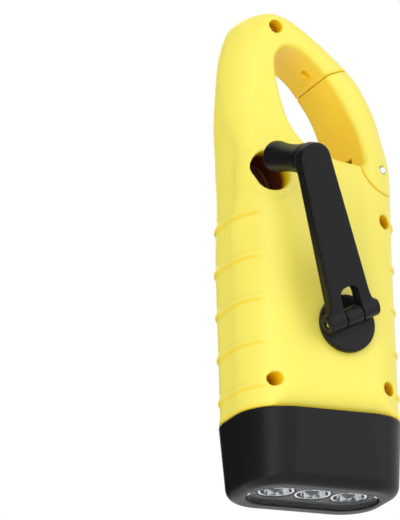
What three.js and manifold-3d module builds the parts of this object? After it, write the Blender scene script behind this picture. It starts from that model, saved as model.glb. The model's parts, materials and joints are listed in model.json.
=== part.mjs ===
// Hand crank flashlight with a solar panel, a clip-on loop with a sprung gate, and a crank dynamo.
//
// Millimetres, +Z up. The flashlight stands on its head. The crank is on the -Y face, the solar
// panel on the +Y face, the solid side of the loop at -X, and the gate and the button at +X.

import * as THREE from 'three';
import { mergeVertices } from 'three/addons/utils/BufferGeometryUtils.js';
import Module from 'manifold-3d';

const wasm = await Module();
wasm.setup();

// Clearances that every piece shares
const seatGap = 0.3;
const runGap = 0.35;
const splitGap = 0.3;
const overrun = 1.5;
const meshTolerance = 0.03;

// Housing, drawn as a column of rounded rectangles
const bodyLength = 141.4;
const bodyHalfWidth = 25;
const bodyHalfDepth = 18;
const bodyCorner = 14;
const crownRound = 5;
const wall = 2.2;
const headHeight = 21.5;
const cavityBelowLoop = 4.6;

// Rows: height, left edge, right edge, half depth, corner radius, as shares of the sizes above
const bodyShares = [
  [0.151, -1.0, 1.0, 1.0, 1.0],
  [0.185, -0.978, 0.978, 1.0, 1.0],
  [0.5, -0.976, 0.976, 1.0, 1.0],
  [0.573, -0.99, 0.985, 1.0, 1.0],
  [0.633, -0.996, 0.984, 0.978, 0.93],
  [0.677, -0.984, 0.972, 0.92, 0.8],
  [0.712, -0.972, 0.95, 0.845, 0.7],
  [0.747, -0.96, 0.91, 0.785, 0.6],
  [0.791, -0.95, 0.845, 0.74, 0.52],
  [0.831, -0.94, 0.75, 0.715, 0.48],
  [0.869, -0.925, 0.627, 0.7, 0.45],
  [0.901, -0.905, 0.465, 0.685, 0.43],
  [0.93, -0.876, 0.27, 0.675, 0.4],
  [0.957, -0.83, 0.07, 0.665, 0.37],
  [0.98, -0.77, -0.13, 0.66, 0.34],
  [1, -0.69, -0.33, 0.655, 0.31],
];

// Grip ribs on both side walls
const ribFirst = 27.7;
const ribPitch = 12.8;
const ribHeight = 0.5;
const ribEdge = 0.35;
const ribCrest = 1.1;
const ribFade = 2.9;
const ribCount = 5;
const ribStartShare = 0.55;
const ribFullShare = 0.8;

// Clip-on loop: where its edge runs, as shares of the half width and of the height
const loopFloorDrop = 45.8;
const loopHeight = 35.5;
const loopHalfWidth = 12.6;
const loopCentre = 0.6;
const loopRound = 3;
const loopEdgeShares = [
  [0.96, 0.0],
  [1.0, 0.14],
  [0.945, 0.3],
  [0.78, 0.455],
  [0.57, 0.61],
  [0.33, 0.735],
  [0.06, 0.86],
  [-0.37, 0.972],
  [-0.74, 0.985],
  [-0.95, 0.9],
  [-0.985, 0.76],
  [-0.86, 0.48],
  [-0.68, 0.28],
  [-0.36, 0.115],
  [0.16, 0.03],
  [0.6, 0.0],
];

// Gate that closes the loop, and its pivot
const gatePivotX = 19;
const gatePivotDrop = 46.4;
const gateEndRadius = 6.4;
const gateReach = 29.4;
const gateInnerAngle = 125;
const gateOuterAngle = 62;
const gateForkHalfGap = 6.4;
const gateForkRadius = 7.7;
const gateForkWall = 1.5;
const gatePinRadius = 1.2;
const gatePinInset = 0.6;
const gatePinShortfall = 2.5;
const gateTongueRadius = 3.5;
const gateTongueSplit = 2.2;
const gateSpringWire = 0.35;
const gateSpringRadius = 2.6;
const gateSpringPitch = 1.2;
const gateSpringTurns = 2;
const catchNotch = 2.2;
const catchNotchX = 0.5;
const catchNotchY = -4.3;
const catchNotchDrop = 16.6;
const catchNotchDepth = 1.6;

// Pocket that the crank's knob is stowed in
const pocketRadius = 5.6;
const pocketLip = 1.6;
const pocketProud = 0.4;
const pocketFloor = 1.5;
const pocketBeyondKnob = 1.4;
const pocketStretch = 0.8;

// Crank: hub, folding arm, knob
const hubX = 3.6;
const hubZ = 46.4;
const hubDiscRadius = 8.4;
const hubDiscThickness = 1.9;
const hubDiscChamfer = 0.5;
const hubShaftRadius = 3.2;
const hubNeckShare = 0.75;
const hingeHeight = 5.2;
const hingeOffset = 1.2;
const hingePinRadius = 0.9;
const knuckleRadius = 2.6;
const tongueWidth = 5.4;
const armStow = 25.4;
const armLift = 22;
const armReach = 45.8;
const armThickness = 4.2;
const armTipRadius = 4.9;
const armRootWidth = 13.2;
const armKnuckleSpan = 17;
const armFlareFoot = 2;
const armFlareTop = 7.5;
const armSkin = 1;
const armEdge = 0.5;
const armWindow = 8.6;
const knobRadius = 4.5;
const knobWaist = 3.9;
const knobDepth = 19;
const knobRound = 1;
const rivetRadius = 1.6;
const rivetHeadRadius = 3;
const rivetHeadHeight = 0.8;
const bushWall = 1.4;
const bushFlange = 1.2;
const bushFlangeThickness = 0.8;

// Gear train of the dynamo
const toothModule = 0.7;
const addendumShare = 0.72;
const dedendumShare = 1.05;
const tipShare = 0.15;
const rootShare = 0.62;
const crankTeeth = 34;
const pinionTeeth = 10;
const firstWheelTeeth = 30;
const secondWheelTeeth = 24;
const firstAxleAngle = 104;
const secondAxleAngle = 60;
const rotorAngle = 134;
const gearThickness = 2;
const gearSideGap = 0.5;
const axleRadius = 1;
const axleSink = 0.6;
const axlePostRadius = 2.4;
const lighteningRadius = 2;
const lighteningPlace = 7.4;
const lighteningCount = 5;
const hubScrewHeadRadius = 2.4;
const hubScrewHeadHeight = 0.9;
const hubScrewRadius = 1.2;
const hubScrewLength = 4;
const magnetRadius = 5;
const magnetShort = 0.4;
const magnetHubRadius = 2.6;
const statorRadius = 8.2;
const statorClearance = 2.6;
const statorPoles = 6;
const statorPoleWidth = 2.2;
const statorYokeWall = 0.9;
const coilOverhangShare = 0.2174;

// Plate that closes the gearbox, on posts of the back shell
const plateThickness = 1.5;
const plateHalfWidth = 12.5;
const plateBottom = 34;
const plateTop = 85;
const plateCorner = 3;
const postRadius = 2.2;
const postX = 16.3;
const postZ = 58;
const postPilotRadius = 0.9;
const plateScrewHeadRadius = 1.9;
const plateScrewHeadHeight = 1;
const plateScrewLength = 6;

// Main board, its cells and its switch
const boardThickness = 1.6;
const boardY = 3.4;
const boardHalfWidth = 14;
const boardBottom = 32;
const boardTop = 87;
const boardCorner = 2;
const boardPostRadius = 1.8;
const boardPostInset = 3;
const cellRadius = 10;
const cellStep = 0.6;
const cellCount = 3;
const cellZ = 61;
const buttonZ = 37;
const buttonRadius = 3.4;
const buttonProud = 1.1;
const buttonTravel = 1;
const buttonRound = 0.5;
const buttonFlange = 1.1;
const buttonFlangeThickness = 0.9;
const switchHalfWidth = 3;
const switchLength = 5;
const switchStemRadius = 1.6;
const switchStemLength = 1.6;

// Screws that hold the two shells together
const screwRadius = 0.9;
const screwHeadRadius = 1.5;
const screwHeadHeight = 1.2;
const screwHeadDepth = 8;
const screwLength = 13;
const screwBossRadius = 3.1;
const screwHoleRadius = 2.05;
const screwCrossWidth = 0.45;
const screwCrossDepth = 0.6;
const screwCrossShare = 0.6;
const screwDomeShare = 0.8;
const lowScrewX = 17.5;
const lowScrewZ = 29.5;
const sideScrewX = 18.5;
const sideScrewDrop = 62.2;
const topScrewX = -11.2;
const topScrewDrop = 5;
const topScrewLength = 9;
const topScrewHeadDepth = 6;

// Solar panel: black frame and the cell in it
const frameHalfWidth = 16;
const frameBottom = 27.6;
const frameTop = 79.6;
const frameCrownRise = 1.2;
const frameCorner = 3.5;
const frameProud = 1.9;
const frameSink = 1;
const frameStepWidth = 1.5;
const frameStepDrop = 0.7;
const frameGroove = 0.6;
const frameGrooveWidth = 0.8;
const solarHalfWidth = 10;
const solarBottom = 33.8;
const solarTop = 72.3;
const solarThickness = 0.9;
const solarLedge = 1.2;
const bevelDepth = 1.5;

// Head with three lamps
const headTaper = 1.4;
const headDepthTaper = 2.2;
const headEdge = 3.2;
const headEdgeShares = [0, 0.3, 0.65, 1];
const headWall = 2.4;
const neckHeight = 4.2;
const neckWall = 1.6;
const windowInset = 5.5;
const windowHalfWidth = 9.2;
const windowDepth = 2.5;
const deckThickness = 2.4;
const lensThickness = 1.5;
const lampEndMargin = 3.2;
const lampCount = 3;
const cupMouth = 5.1;
const cupThroat = 3;
const cupDepth = 8;
const cupWall = 0.6;
const cupFlangeThickness = 0.9;
const cupFlangeMargin = 1.4;
const ledRadius = 2.5;
const ledLength = 7;
const ledFlangeRadius = 2.8;
const ledFlangeThickness = 0.9;
const ledBoardThickness = 1.4;
const ledBoardMargin = 0.8;

// Steps of the round forms
const cornerSteps = 6;
const cavityRings = 5;
const rimRings = 3;
const crownRings = 15;
const crownSpacing = 1.5;
const loopSteps = 34;
const loopRoundSteps = 2;
const springSteps = 8;
const cupRings = 3;
const cupSides = 16;
const roundSides = 24;
const smallSides = 12;
const gateArcSteps = 14;
const pocketArcSteps = 9;
const coarseArcSteps = 3;
const fineArcSteps = 7;
const pinSides = 8;

const radians = THREE.MathUtils.degToRad;
const hubFaceY = -bodyHalfDepth;
const hingeY = hubFaceY - hingeHeight;
const innerFaceY = -bodyHalfDepth + wall;
const shellFoot = headHeight + seatGap;
const loopFloor = bodyLength - loopFloorDrop;
const cavityTop = loopFloor - cavityBelowLoop;
const gatePivotZ = bodyLength - gatePivotDrop;
const catchNotchZ = bodyLength - catchNotchDrop;
const topScrewZ = bodyLength - topScrewDrop;
const sideScrewZ = bodyLength - sideScrewDrop;
const cellRoom = bodyHalfDepth - wall - boardY - boardThickness;
const cellThickness = (cellRoom - (cellCount + 3) * seatGap) / cellCount;
const windowHalfLength = bodyHalfWidth - windowInset;
const lampPitch = windowHalfLength - cupMouth - lampEndMargin;

// Where each ring of the housing lies and how wide it is

/** Value of one column of a table at a height, smooth and without overshoot. */
function along(rows, at, column) {
  const last = rows.length - 1;
  if (at <= rows[0][0]) return rows[0][column];
  if (at >= rows[last][0]) return rows[last][column];
  const low = rows.findIndex((row) => row[0] > at) - 1;
  const secant = (k) => (rows[k + 1][column] - rows[k][column]) / (rows[k + 1][0] - rows[k][0]);
  const slope = (k) => {
    if (k === 0) return secant(0);
    if (k === last) return secant(last - 1);
    const before = secant(k - 1);
    const after = secant(k);
    return before * after <= 0 ? 0 : (2 * before * after) / (before + after);
  };
  const span = rows[low + 1][0] - rows[low][0];
  const t = (at - rows[low][0]) / span;
  const rise = t * t * (3 - 2 * t);
  return (
    rows[low][column] * (1 - rise) +
    rows[low + 1][column] * rise +
    span * t * (1 - t) * (slope(low) * (1 - t) - slope(low + 1) * t)
  );
}

/** Edges, half depth and corner radius of the housing at height z. */
function bodySection(z) {
  const share = z / bodyLength;
  const left = bodyHalfWidth * along(bodyShares, share, 1);
  const right = bodyHalfWidth * along(bodyShares, share, 2);
  const fullDepth = bodyHalfDepth * along(bodyShares, share, 3);
  const intoCrown = Math.max(0, z - (bodyLength - crownRound));
  const crownDrop = crownRound - Math.sqrt(crownRound ** 2 - intoCrown ** 2);
  const corner = bodyCorner * along(bodyShares, share, 4);
  return { left, right, depth: fullDepth - crownDrop, corner };
}

/** How far the grip ribs stand proud at height z: a sharp lower edge and a long fade upward. */
function ribRelief(z) {
  const k = Math.round((z - ribFirst - ribFade / 2) / ribPitch);
  if (k < 0 || k >= ribCount) return 0;
  const up = z - ribFirst - k * ribPitch;
  if (up <= 0 || up >= ribFade) return 0;
  if (up < ribEdge) return (ribHeight * up) / ribEdge;
  if (up < ribCrest) return ribHeight;
  const fade = (ribFade - up) / (ribFade - ribCrest);
  return ribHeight * fade ** 2;
}

/** One ring of a rounded rectangle, counter-clockwise from above, with the ribs where wanted. */
function sectionRing(section, z, inset, relief) {
  const halfWidth = (section.right - section.left) / 2 - inset;
  const centre = (section.right + section.left) / 2;
  const depth = section.depth - inset;
  const corner = Math.min(section.corner - inset, halfWidth, depth);
  const ring = [];
  for (let quadrant = 0; quadrant < 4; quadrant += 1) {
    for (let k = 0; k <= cornerSteps; k += 1) {
      const angle = (quadrant + k / cornerSteps) * (Math.PI / 2);
      const sideX = quadrant === 0 || quadrant === 3 ? 1 : -1;
      const sideY = quadrant < 2 ? 1 : -1;
      const towardSide = THREE.MathUtils.smoothstep(Math.abs(Math.cos(angle)), ribStartShare, ribFullShare);
      const out = corner + relief * towardSide;
      const x = centre + sideX * (halfWidth - corner) + out * Math.cos(angle);
      const y = sideY * (depth - corner) + out * Math.sin(angle);
      ring.push(new THREE.Vector3(x, y, z));
    }
  }
  return ring;
}

// From three.js geometry to closed solids and back

/** Closed solid of a three.js geometry, facing out. */
function toSolid(geometry) {
  const bare = new THREE.BufferGeometry();
  bare.setAttribute('position', geometry.getAttribute('position'));
  bare.setIndex(geometry.index);
  const merged = mergeVertices(bare);
  const position = merged.getAttribute('position');
  const corners = merged.index.array;
  const kept = [];
  let volume = 0;
  const [a, b, c] = [new THREE.Vector3(), new THREE.Vector3(), new THREE.Vector3()];
  for (let k = 0; k < corners.length; k += 3) {
    const [i, j, l] = [corners[k], corners[k + 1], corners[k + 2]];
    if (i === j || j === l || l === i) continue;
    kept.push(i, j, l);
    a.fromBufferAttribute(position, i);
    b.fromBufferAttribute(position, j);
    c.fromBufferAttribute(position, l);
    volume += a.dot(b.cross(c));
  }
  if (volume < 0) kept.reverse();
  const mesh = new wasm.Mesh({
    numProp: 3,
    vertProperties: Float32Array.from(position.array),
    triVerts: Uint32Array.from(kept),
  });
  return new wasm.Manifold(mesh);
}

/** three.js geometry of a solid, with flat facets and without needless slivers. */
function toGeometry(solid) {
  const mesh = solid.simplify(meshTolerance).getMesh();
  const geometry = new THREE.BufferGeometry();
  geometry.setAttribute('position', new THREE.BufferAttribute(mesh.vertProperties, 3));
  geometry.setIndex(new THREE.BufferAttribute(mesh.triVerts, 1));
  const faceted = geometry.toNonIndexed();
  faceted.computeVertexNormals();
  return faceted;
}

/** Base solid with every tool taken away. */
function cut(base, ...tools) {
  return tools.reduce((solid, tool) => solid.subtract(tool), base);
}

/** All solids joined into one. */
function join(first, ...others) {
  return others.reduce((solid, other) => solid.add(other), first);
}

/** Solid through rings of equal length, closed by a fan at each end. */
function loft(rings) {
  const count = rings[0].length;
  const points = rings.flat();
  const ends = [rings[0], rings[rings.length - 1]];
  for (const ring of ends) {
    const middle = new THREE.Vector3();
    ring.forEach((point) => middle.add(point));
    points.push(middle.divideScalar(count));
  }
  const index = [];
  const [firstMiddle, lastMiddle] = [points.length - 2, points.length - 1];
  const lastRow = (rings.length - 1) * count;
  for (let k = 0; k < count; k += 1) {
    const next = (k + 1) % count;
    for (let row = 0; row < lastRow; row += count) {
      index.push(row + k, row + next, row + count + next);
      index.push(row + k, row + count + next, row + count + k);
    }
    index.push(firstMiddle, next, k, lastMiddle, lastRow + k, lastRow + next);
  }
  const geometry = new THREE.BufferGeometry().setFromPoints(points);
  geometry.setIndex(index);
  return toSolid(geometry);
}

/** Upright XZ shape made solid between two depths. */
function slabY(shape, yFrom, yTo, curveSegments = 4) {
  const geometry = new THREE.ExtrudeGeometry(shape, {
    depth: yTo - yFrom,
    bevelEnabled: false,
    curveSegments,
  });
  geometry.rotateX(Math.PI / 2);
  geometry.translate(0, yTo, 0);
  return toSolid(geometry);
}

/** Flat XY shape made solid between two heights. */
function slabZ(shape, zFrom, zTo, curveSegments = 5) {
  const geometry = new THREE.ExtrudeGeometry(shape, {
    depth: zTo - zFrom,
    bevelEnabled: false,
    curveSegments,
  });
  geometry.translate(0, 0, zFrom);
  return toSolid(geometry);
}

/** Round bar along Y. */
function barY(radius, yFrom, yTo, x = 0, z = 0, sides = smallSides) {
  const geometry = new THREE.CylinderGeometry(radius, radius, yTo - yFrom, sides);
  geometry.translate(x, (yFrom + yTo) / 2, z);
  return toSolid(geometry);
}

/** Round bar along X. */
function barX(radius, xFrom, xTo, y = 0, z = 0, sides = smallSides) {
  const geometry = new THREE.CylinderGeometry(radius, radius, xTo - xFrom, sides);
  geometry.rotateZ(Math.PI / 2);
  geometry.translate((xFrom + xTo) / 2, y, z);
  return toSolid(geometry);
}

/** Turned form about the Y axis from a profile of [radius, y] points. */
function turnedY(profile, x = 0, z = 0, sides = roundSides) {
  const points = profile.map(([radius, y]) => new THREE.Vector2(radius, y));
  const geometry = new THREE.LatheGeometry(points, sides);
  geometry.translate(x, 0, z);
  return toSolid(geometry);
}

/** Block between two corners. */
function block(xFrom, xTo, yFrom, yTo, zFrom, zTo) {
  const geometry = new THREE.BoxGeometry(xTo - xFrom, yTo - yFrom, zTo - zFrom);
  geometry.translate((xFrom + xTo) / 2, (yFrom + yTo) / 2, (zFrom + zTo) / 2);
  return toSolid(geometry);
}

/** Rectangle with round corners between two corners. */
function roundedRectangle(left, right, bottom, top, radius) {
  const shape = new THREE.Shape();
  shape.moveTo(left + radius, bottom);
  shape.absarc(right - radius, bottom + radius, radius, -Math.PI / 2, 0, false);
  shape.absarc(right - radius, top - radius, radius, 0, Math.PI / 2, false);
  shape.absarc(left + radius, top - radius, radius, Math.PI / 2, Math.PI, false);
  shape.absarc(left + radius, bottom + radius, radius, Math.PI, 1.5 * Math.PI, false);
  return shape;
}

/** Long hole with half-round ends, lying along X. */
function stadium(halfLength, radius) {
  return roundedRectangle(-halfLength, halfLength, -radius, radius, radius);
}

// Finishes
const yellowShell = new THREE.MeshStandardMaterial({ color: 0xf8e63c, roughness: 0.32, metalness: 0 });
const blackShell = new THREE.MeshStandardMaterial({ color: 0x1b1b1c, roughness: 0.5, metalness: 0 });
const whiteNylon = new THREE.MeshStandardMaterial({ color: 0xe9e7dc, roughness: 0.5, metalness: 0 });
const greenBoard = new THREE.MeshStandardMaterial({ color: 0x1f6b3a, roughness: 0.5, metalness: 0.1 });
const steel = new THREE.MeshStandardMaterial({ color: 0xb9bcc0, roughness: 0.3, metalness: 1 });
const chrome = new THREE.MeshStandardMaterial({ color: 0xe6e8ea, roughness: 0.08, metalness: 1 });
const copper = new THREE.MeshStandardMaterial({ color: 0xb56a33, roughness: 0.4, metalness: 0.9 });
const ferrite = new THREE.MeshStandardMaterial({ color: 0x3a3b3e, roughness: 0.6, metalness: 0.3 });
const cellFilm = new THREE.MeshStandardMaterial({ color: 0x9a6650, roughness: 0.25, metalness: 0.1 });
const clearPlastic = new THREE.MeshStandardMaterial({
  color: 0xf4f7fa,
  roughness: 0.05,
  metalness: 0,
  transparent: true,
  opacity: 0.3,
});

const flashlight = new THREE.Group();

/** Named mesh of a solid, hung in a group at a place. */
function addPiece(name, solid, material, group = flashlight, place = [0, 0, 0]) {
  const mesh = new THREE.Mesh(toGeometry(solid), material);
  mesh.name = name;
  mesh.position.set(...place);
  group.add(mesh);
  return mesh;
}

// Outer form of the housing, ribs and crown included

/** Heights of the housing's rings: more of them on each rib's edges and toward the crown. */
function ringHeights() {
  const heights = [shellFoot];
  for (let k = 0; k < ribCount; k += 1) {
    const foot = ribFirst + k * ribPitch;
    heights.push(foot, foot + ribEdge, foot + ribCrest, foot + ribFade);
  }
  const from = heights[heights.length - 1];
  for (let k = 1; k <= crownRings; k += 1) {
    heights.push(bodyLength - (bodyLength - from) * (1 - k / crownRings) ** crownSpacing);
  }
  return heights;
}

/** Whole outer form, before it is parted into shells and gate. */
function outerForm() {
  return loft(ringHeights().map((z) => sectionRing(bodySection(z), z, 0, ribRelief(z))));
}

/** Points along the loop's edge, in order, moved outward by a distance. */
function loopEdge(outward) {
  const spine = new THREE.CatmullRomCurve3(
    loopEdgeShares.map(
      ([across, up]) =>
        new THREE.Vector3(loopCentre + across * loopHalfWidth, 0, loopFloor + up * loopHeight),
    ),
    true,
    'centripetal',
  );
  const points = [];
  for (let k = 0; k < loopSteps; k += 1) {
    const t = k / loopSteps;
    const tangent = spine.getTangent(t);
    const point = spine.getPoint(t);
    points.push(new THREE.Vector3(point.x + tangent.z * outward, 0, point.z - tangent.x * outward));
  }
  return points;
}

/** Tool that opens the loop, flared at both faces so that the loop's edge is rounded. */
function loopTool() {
  const layers = [];
  for (let k = 0; k <= loopRoundSteps; k += 1) {
    const angle = (k / loopRoundSteps) * (Math.PI / 2);
    layers.push([loopRound * (1 - Math.cos(angle)), loopRound * (1 - Math.sin(angle))]);
  }
  layers.push([loopRound, -overrun]);
  const ringsOn = (side) =>
    layers.map(([widen, below]) =>
      loopEdge(widen).map((point) => {
        const depth = bodySection(point.z).depth - below;
        return new THREE.Vector3(point.x, side * depth, point.z);
      }),
    );
  return loft([...ringsOn(-1).reverse(), ...ringsOn(1)]);
}

/** Depth of the housing's face at a place, where its corners are already rounded. */
function faceDepth(x, z) {
  const section = bodySection(z);
  const halfWidth = (section.right - section.left) / 2;
  const fromCentre = Math.abs(x - (section.right + section.left) / 2);
  const intoCorner = Math.max(0, fromCentre - (halfWidth - section.corner));
  return section.depth - section.corner + Math.sqrt(section.corner ** 2 - intoCorner ** 2);
}

/** Outline of the gate about its pivot, grown by a clearance for the room it needs. */
function gateShape(clearance) {
  const end = gateEndRadius + clearance;
  const reach = gateReach + clearance;
  const inner = radians(gateInnerAngle);
  const outer = radians(gateOuterAngle);
  const shape = new THREE.Shape();
  shape.moveTo(-end, 0);
  shape.lineTo(reach * Math.cos(inner), reach * Math.sin(inner));
  shape.absarc(0, 0, reach, inner, outer, true);
  shape.absarc(0, 0, end, 0, -Math.PI, true);
  return shape;
}

/** Room of the gate through the whole thickness, at its place on the housing. */
function gateRoom(clearance) {
  const half = bodyHalfDepth + overrun;
  return slabY(gateShape(clearance), -half, half, gateArcSteps).translate([gatePivotX, 0, gatePivotZ]);
}

// Places that the crank and the gear train share

const armStowAngle = radians(armStow);
const knobFromHub = hingeOffset + armReach;
const pocketFromHub = knobFromHub + pocketBeyondKnob;
const pocketX = hubX - pocketFromHub * Math.sin(armStowAngle);
const pocketZ = hubZ + pocketFromHub * Math.cos(armStowAngle);
const pocketEndY = hingeY + knobDepth + runGap;
const pocketFarY = -bodyHalfDepth - pocketProud - overrun;

const buttonSideX = bodySection(buttonZ).right;
const crankLevel = innerFaceY + seatGap + bushFlangeThickness + gearSideGap;
const firstLevel = crankLevel + gearThickness + gearSideGap;
const secondLevel = firstLevel + gearThickness + gearSideGap;
const plateY = seatGap;
const plateFrontY = plateY + plateThickness;
const statorTop = plateY - seatGap;
const statorLength = statorTop - secondLevel - gearThickness - statorClearance;
const magnetLength = statorLength - magnetShort;
const coilOverhang = statorLength * coilOverhangShare;

const pitchRadius = (teeth) => (toothModule * teeth) / 2;
const meshed = (driver, driven) => pitchRadius(driver) + pitchRadius(driven);
const stepFrom = ([x, z], distance, angle) => [
  x + distance * Math.cos(radians(angle)),
  z + distance * Math.sin(radians(angle)),
];
const hubPlace = [hubX, hubZ];
const firstPlace = stepFrom(hubPlace, meshed(crankTeeth, pinionTeeth), firstAxleAngle);
const secondPlace = stepFrom(firstPlace, meshed(firstWheelTeeth, pinionTeeth), secondAxleAngle);
const rotorPlace = stepFrom(secondPlace, meshed(secondWheelTeeth, pinionTeeth), rotorAngle);
const axlePlaces = [firstPlace, secondPlace, rotorPlace];
const postPlaces = [
  [-postX, postZ],
  [postX, postZ],
];

/** Outline of the knob's pocket, grown by a distance, lying along the stowed arm. */
function pocketTool(grow, yFrom, yTo) {
  const half = pocketRadius + pocketStretch + grow;
  const tool = slabY(stadium(half, pocketRadius + grow), yFrom, yTo, pocketArcSteps);
  return tool.rotate([0, -90 - armStow, 0]).translate([pocketX, 0, pocketZ]);
}

/** Form of the housing round the pocket, grown by what the pocket's rim stands proud. */
function rimForm() {
  const reach = pocketRadius + pocketStretch + pocketLip + overrun;
  const rings = [];
  for (let k = -rimRings; k <= rimRings; k += 1) {
    const z = pocketZ + (reach * k) / rimRings;
    rings.push(sectionRing(bodySection(z), z, -pocketProud, 0));
  }
  return loft(rings);
}

/** The four housing screws: place, depth of the head and length. */
const screwPlaces = [
  { x: -lowScrewX, z: lowScrewZ, sink: screwHeadDepth, length: screwLength },
  { x: lowScrewX, z: lowScrewZ, sink: screwHeadDepth, length: screwLength },
  { x: sideScrewX, z: sideScrewZ, sink: screwHeadDepth, length: screwLength },
  { x: topScrewX, z: topScrewZ, sink: topScrewHeadDepth, length: topScrewLength },
];

/** Room inside the housing, a wall's thickness in from the outside. */
function cavity() {
  const rings = [];
  const foot = shellFoot - overrun;
  for (let k = 0; k <= cavityRings; k += 1) {
    const z = foot + ((cavityTop - foot) * k) / cavityRings;
    rings.push(sectionRing(bodySection(z), z, wall, 0));
  }
  const half = bodyHalfDepth;
  const guard = gateEndRadius + runGap + wall;
  return cut(
    loft(rings),
    barY(guard, -half, half, gatePivotX, gatePivotZ, roundSides),
    pocketTool(pocketLip, -half, pocketEndY + pocketFloor),
  );
}

/** Ear of the housing that the gate's fork straddles. */
function gateTongue(yFrom, yTo) {
  const disc = barY(gateTongueRadius, yFrom, yTo, gatePivotX, gatePivotZ);
  const foot = gatePivotZ - gateEndRadius - wall;
  const web = block(
    gatePivotX - gateTongueRadius,
    gatePivotX + gateTongueRadius,
    yFrom,
    yTo,
    foot,
    gatePivotZ,
  );
  const hole = barY(
    gatePinRadius + seatGap,
    yFrom - overrun,
    yTo + overrun,
    gatePivotX,
    gatePivotZ,
  );
  return cut(join(disc, web), hole);
}

/** Small square pocket moulded into the hook above the gate's tip. */
function catchTool() {
  const half = catchNotch / 2;
  return block(
    catchNotchX - half,
    catchNotchX + half,
    catchNotchY - half,
    catchNotchY + half,
    catchNotchZ - catchNotch,
    catchNotchZ + catchNotchDepth,
  );
}

/** Half of the housing on one side of the parting plane: side -1 is the crank's, 1 the panel's. */
function housingHalf(side) {
  const far = bodyHalfDepth + pocketProud + overrun;
  const parting = (side * splitGap) / 2;
  const yFrom = Math.min(parting, side * far);
  const yTo = Math.max(parting, side * far);
  const reach = 2 * bodyHalfWidth;
  return block(-reach, reach, yFrom, yTo, 0, bodyLength + overrun);
}

/** Hole of the push button through the side wall, half in each shell. */
function buttonHole() {
  const radius = buttonRadius + runGap;
  const inside = buttonSideX - wall - overrun;
  return barX(radius, inside, buttonSideX + overrun, 0, buttonZ, roundSides);
}

// Shells

/** Back shell: crank side, with the knob's pocket, gear posts and deep screw holes. */
function backShell(housing, room) {
  const rim = -splitGap / 2;
  const wallTool = pocketTool(pocketLip, pocketFarY, pocketEndY + pocketFloor);
  const pocketWall = wallTool.intersect(rimForm());
  let shell = join(cut(housing, room), pocketWall).intersect(housingHalf(-1));
  const bosses = screwPlaces
    .slice(0, 3)
    .map(({ x, z }) => barY(screwBossRadius, hubFaceY, rim, x, z).intersect(form));
  const axlePosts = axlePlaces.map(([x, z]) =>
    barY(axlePostRadius, innerFaceY - wall / 2, innerFaceY + seatGap, x, z),
  );
  const platePosts = postPlaces.map(([x, z]) =>
    barY(postRadius, hubFaceY, plateY - seatGap, x, z).intersect(form),
  );
  shell = join(
    shell,
    ...bosses,
    ...axlePosts,
    ...platePosts,
    gateTongue(-gateForkHalfGap + runGap, rim),
  );
  const outside = -bodyHalfDepth - overrun;
  const screwTools = screwPlaces.flatMap(({ x, z, sink }) => {
    const headY = -faceDepth(x, z) + sink;
    return [
      barY(screwHoleRadius, outside, headY, x, z),
      barY(screwRadius + seatGap, headY - overrun, overrun, x, z, pinSides),
    ];
  });
  const axleTools = axlePlaces.map(([x, z]) =>
    barY(axleRadius + seatGap, innerFaceY - axleSink - seatGap, overrun, x, z, pinSides),
  );
  const pilotTools = postPlaces.map(([x, z]) =>
    barY(postPilotRadius + seatGap, -plateScrewLength, overrun, x, z, pinSides),
  );
  return cut(
    shell,
    ...screwTools,
    ...axleTools,
    ...pilotTools,
    pocketTool(0, pocketFarY - overrun, pocketEndY),
    barY(hubShaftRadius + runGap + bushWall + seatGap, outside, innerFaceY + overrun, hubX, hubZ, roundSides),
    buttonHole(),
    catchTool(),
  );
}

/** Front shell: panel side, with the frame's seat, board posts and screw bosses. */
function frontShell(housing, room) {
  const rim = splitGap / 2;
  const innerY = bodyHalfDepth - wall;
  let shell = cut(housing, room).intersect(housingHalf(1));
  const bosses = screwPlaces
    .slice(0, 3)
    .map(({ x, z }) => barY(screwBossRadius, rim, innerY + wall / 2, x, z).intersect(form));
  const boardPosts = boardPostPlaces.map(([x, z]) =>
    barY(boardPostRadius, boardY + boardThickness + seatGap, innerY + wall / 2, x, z),
  );
  shell = join(shell, ...bosses, ...boardPosts, gateTongue(rim, gateTongueSplit));
  const seat = slabY(frameShape(seatGap), bodyHalfDepth - frameSink, bodyHalfDepth + overrun);
  const screwTools = screwPlaces.map(({ x, z, sink, length }) => {
    const tipY = -faceDepth(x, z) + sink + length;
    return barY(screwRadius + seatGap, -overrun, tipY + seatGap, x, z, pinSides);
  });
  return cut(shell, seat, ...screwTools, buttonHole());
}

const switchStemEnd =
  buttonSideX - wall - seatGap - buttonFlangeThickness - buttonTravel - runGap;
const switchBodyEnd = switchStemEnd - switchStemLength;
const boardPostPlaces = [-1, 1].flatMap((side) =>
  [boardBottom + boardPostInset, boardTop - boardPostInset].map((z) => [
    side * (boardHalfWidth - boardPostInset),
    z,
  ]),
);

// Solar panel

/** Outline of the panel's frame: straight sides, round corners and a slightly arched top. */
function frameShape(grow) {
  const half = frameHalfWidth + grow;
  const bottom = frameBottom - grow;
  const top = frameTop + grow;
  const corner = frameCorner + grow;
  const shape = new THREE.Shape();
  shape.moveTo(-half + corner, bottom);
  shape.absarc(half - corner, bottom + corner, corner, -Math.PI / 2, 0, false);
  shape.lineTo(half, top - frameCrownRise - corner);
  shape.quadraticCurveTo(half, top - frameCrownRise, half - corner, top - frameCrownRise / 2);
  shape.quadraticCurveTo(0, top + frameCrownRise / 2, -half + corner, top - frameCrownRise / 2);
  shape.quadraticCurveTo(-half, top - frameCrownRise, -half, top - frameCrownRise - corner);
  shape.absarc(-half + corner, bottom + corner, corner, Math.PI, 1.5 * Math.PI, false);
  return shape;
}

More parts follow.
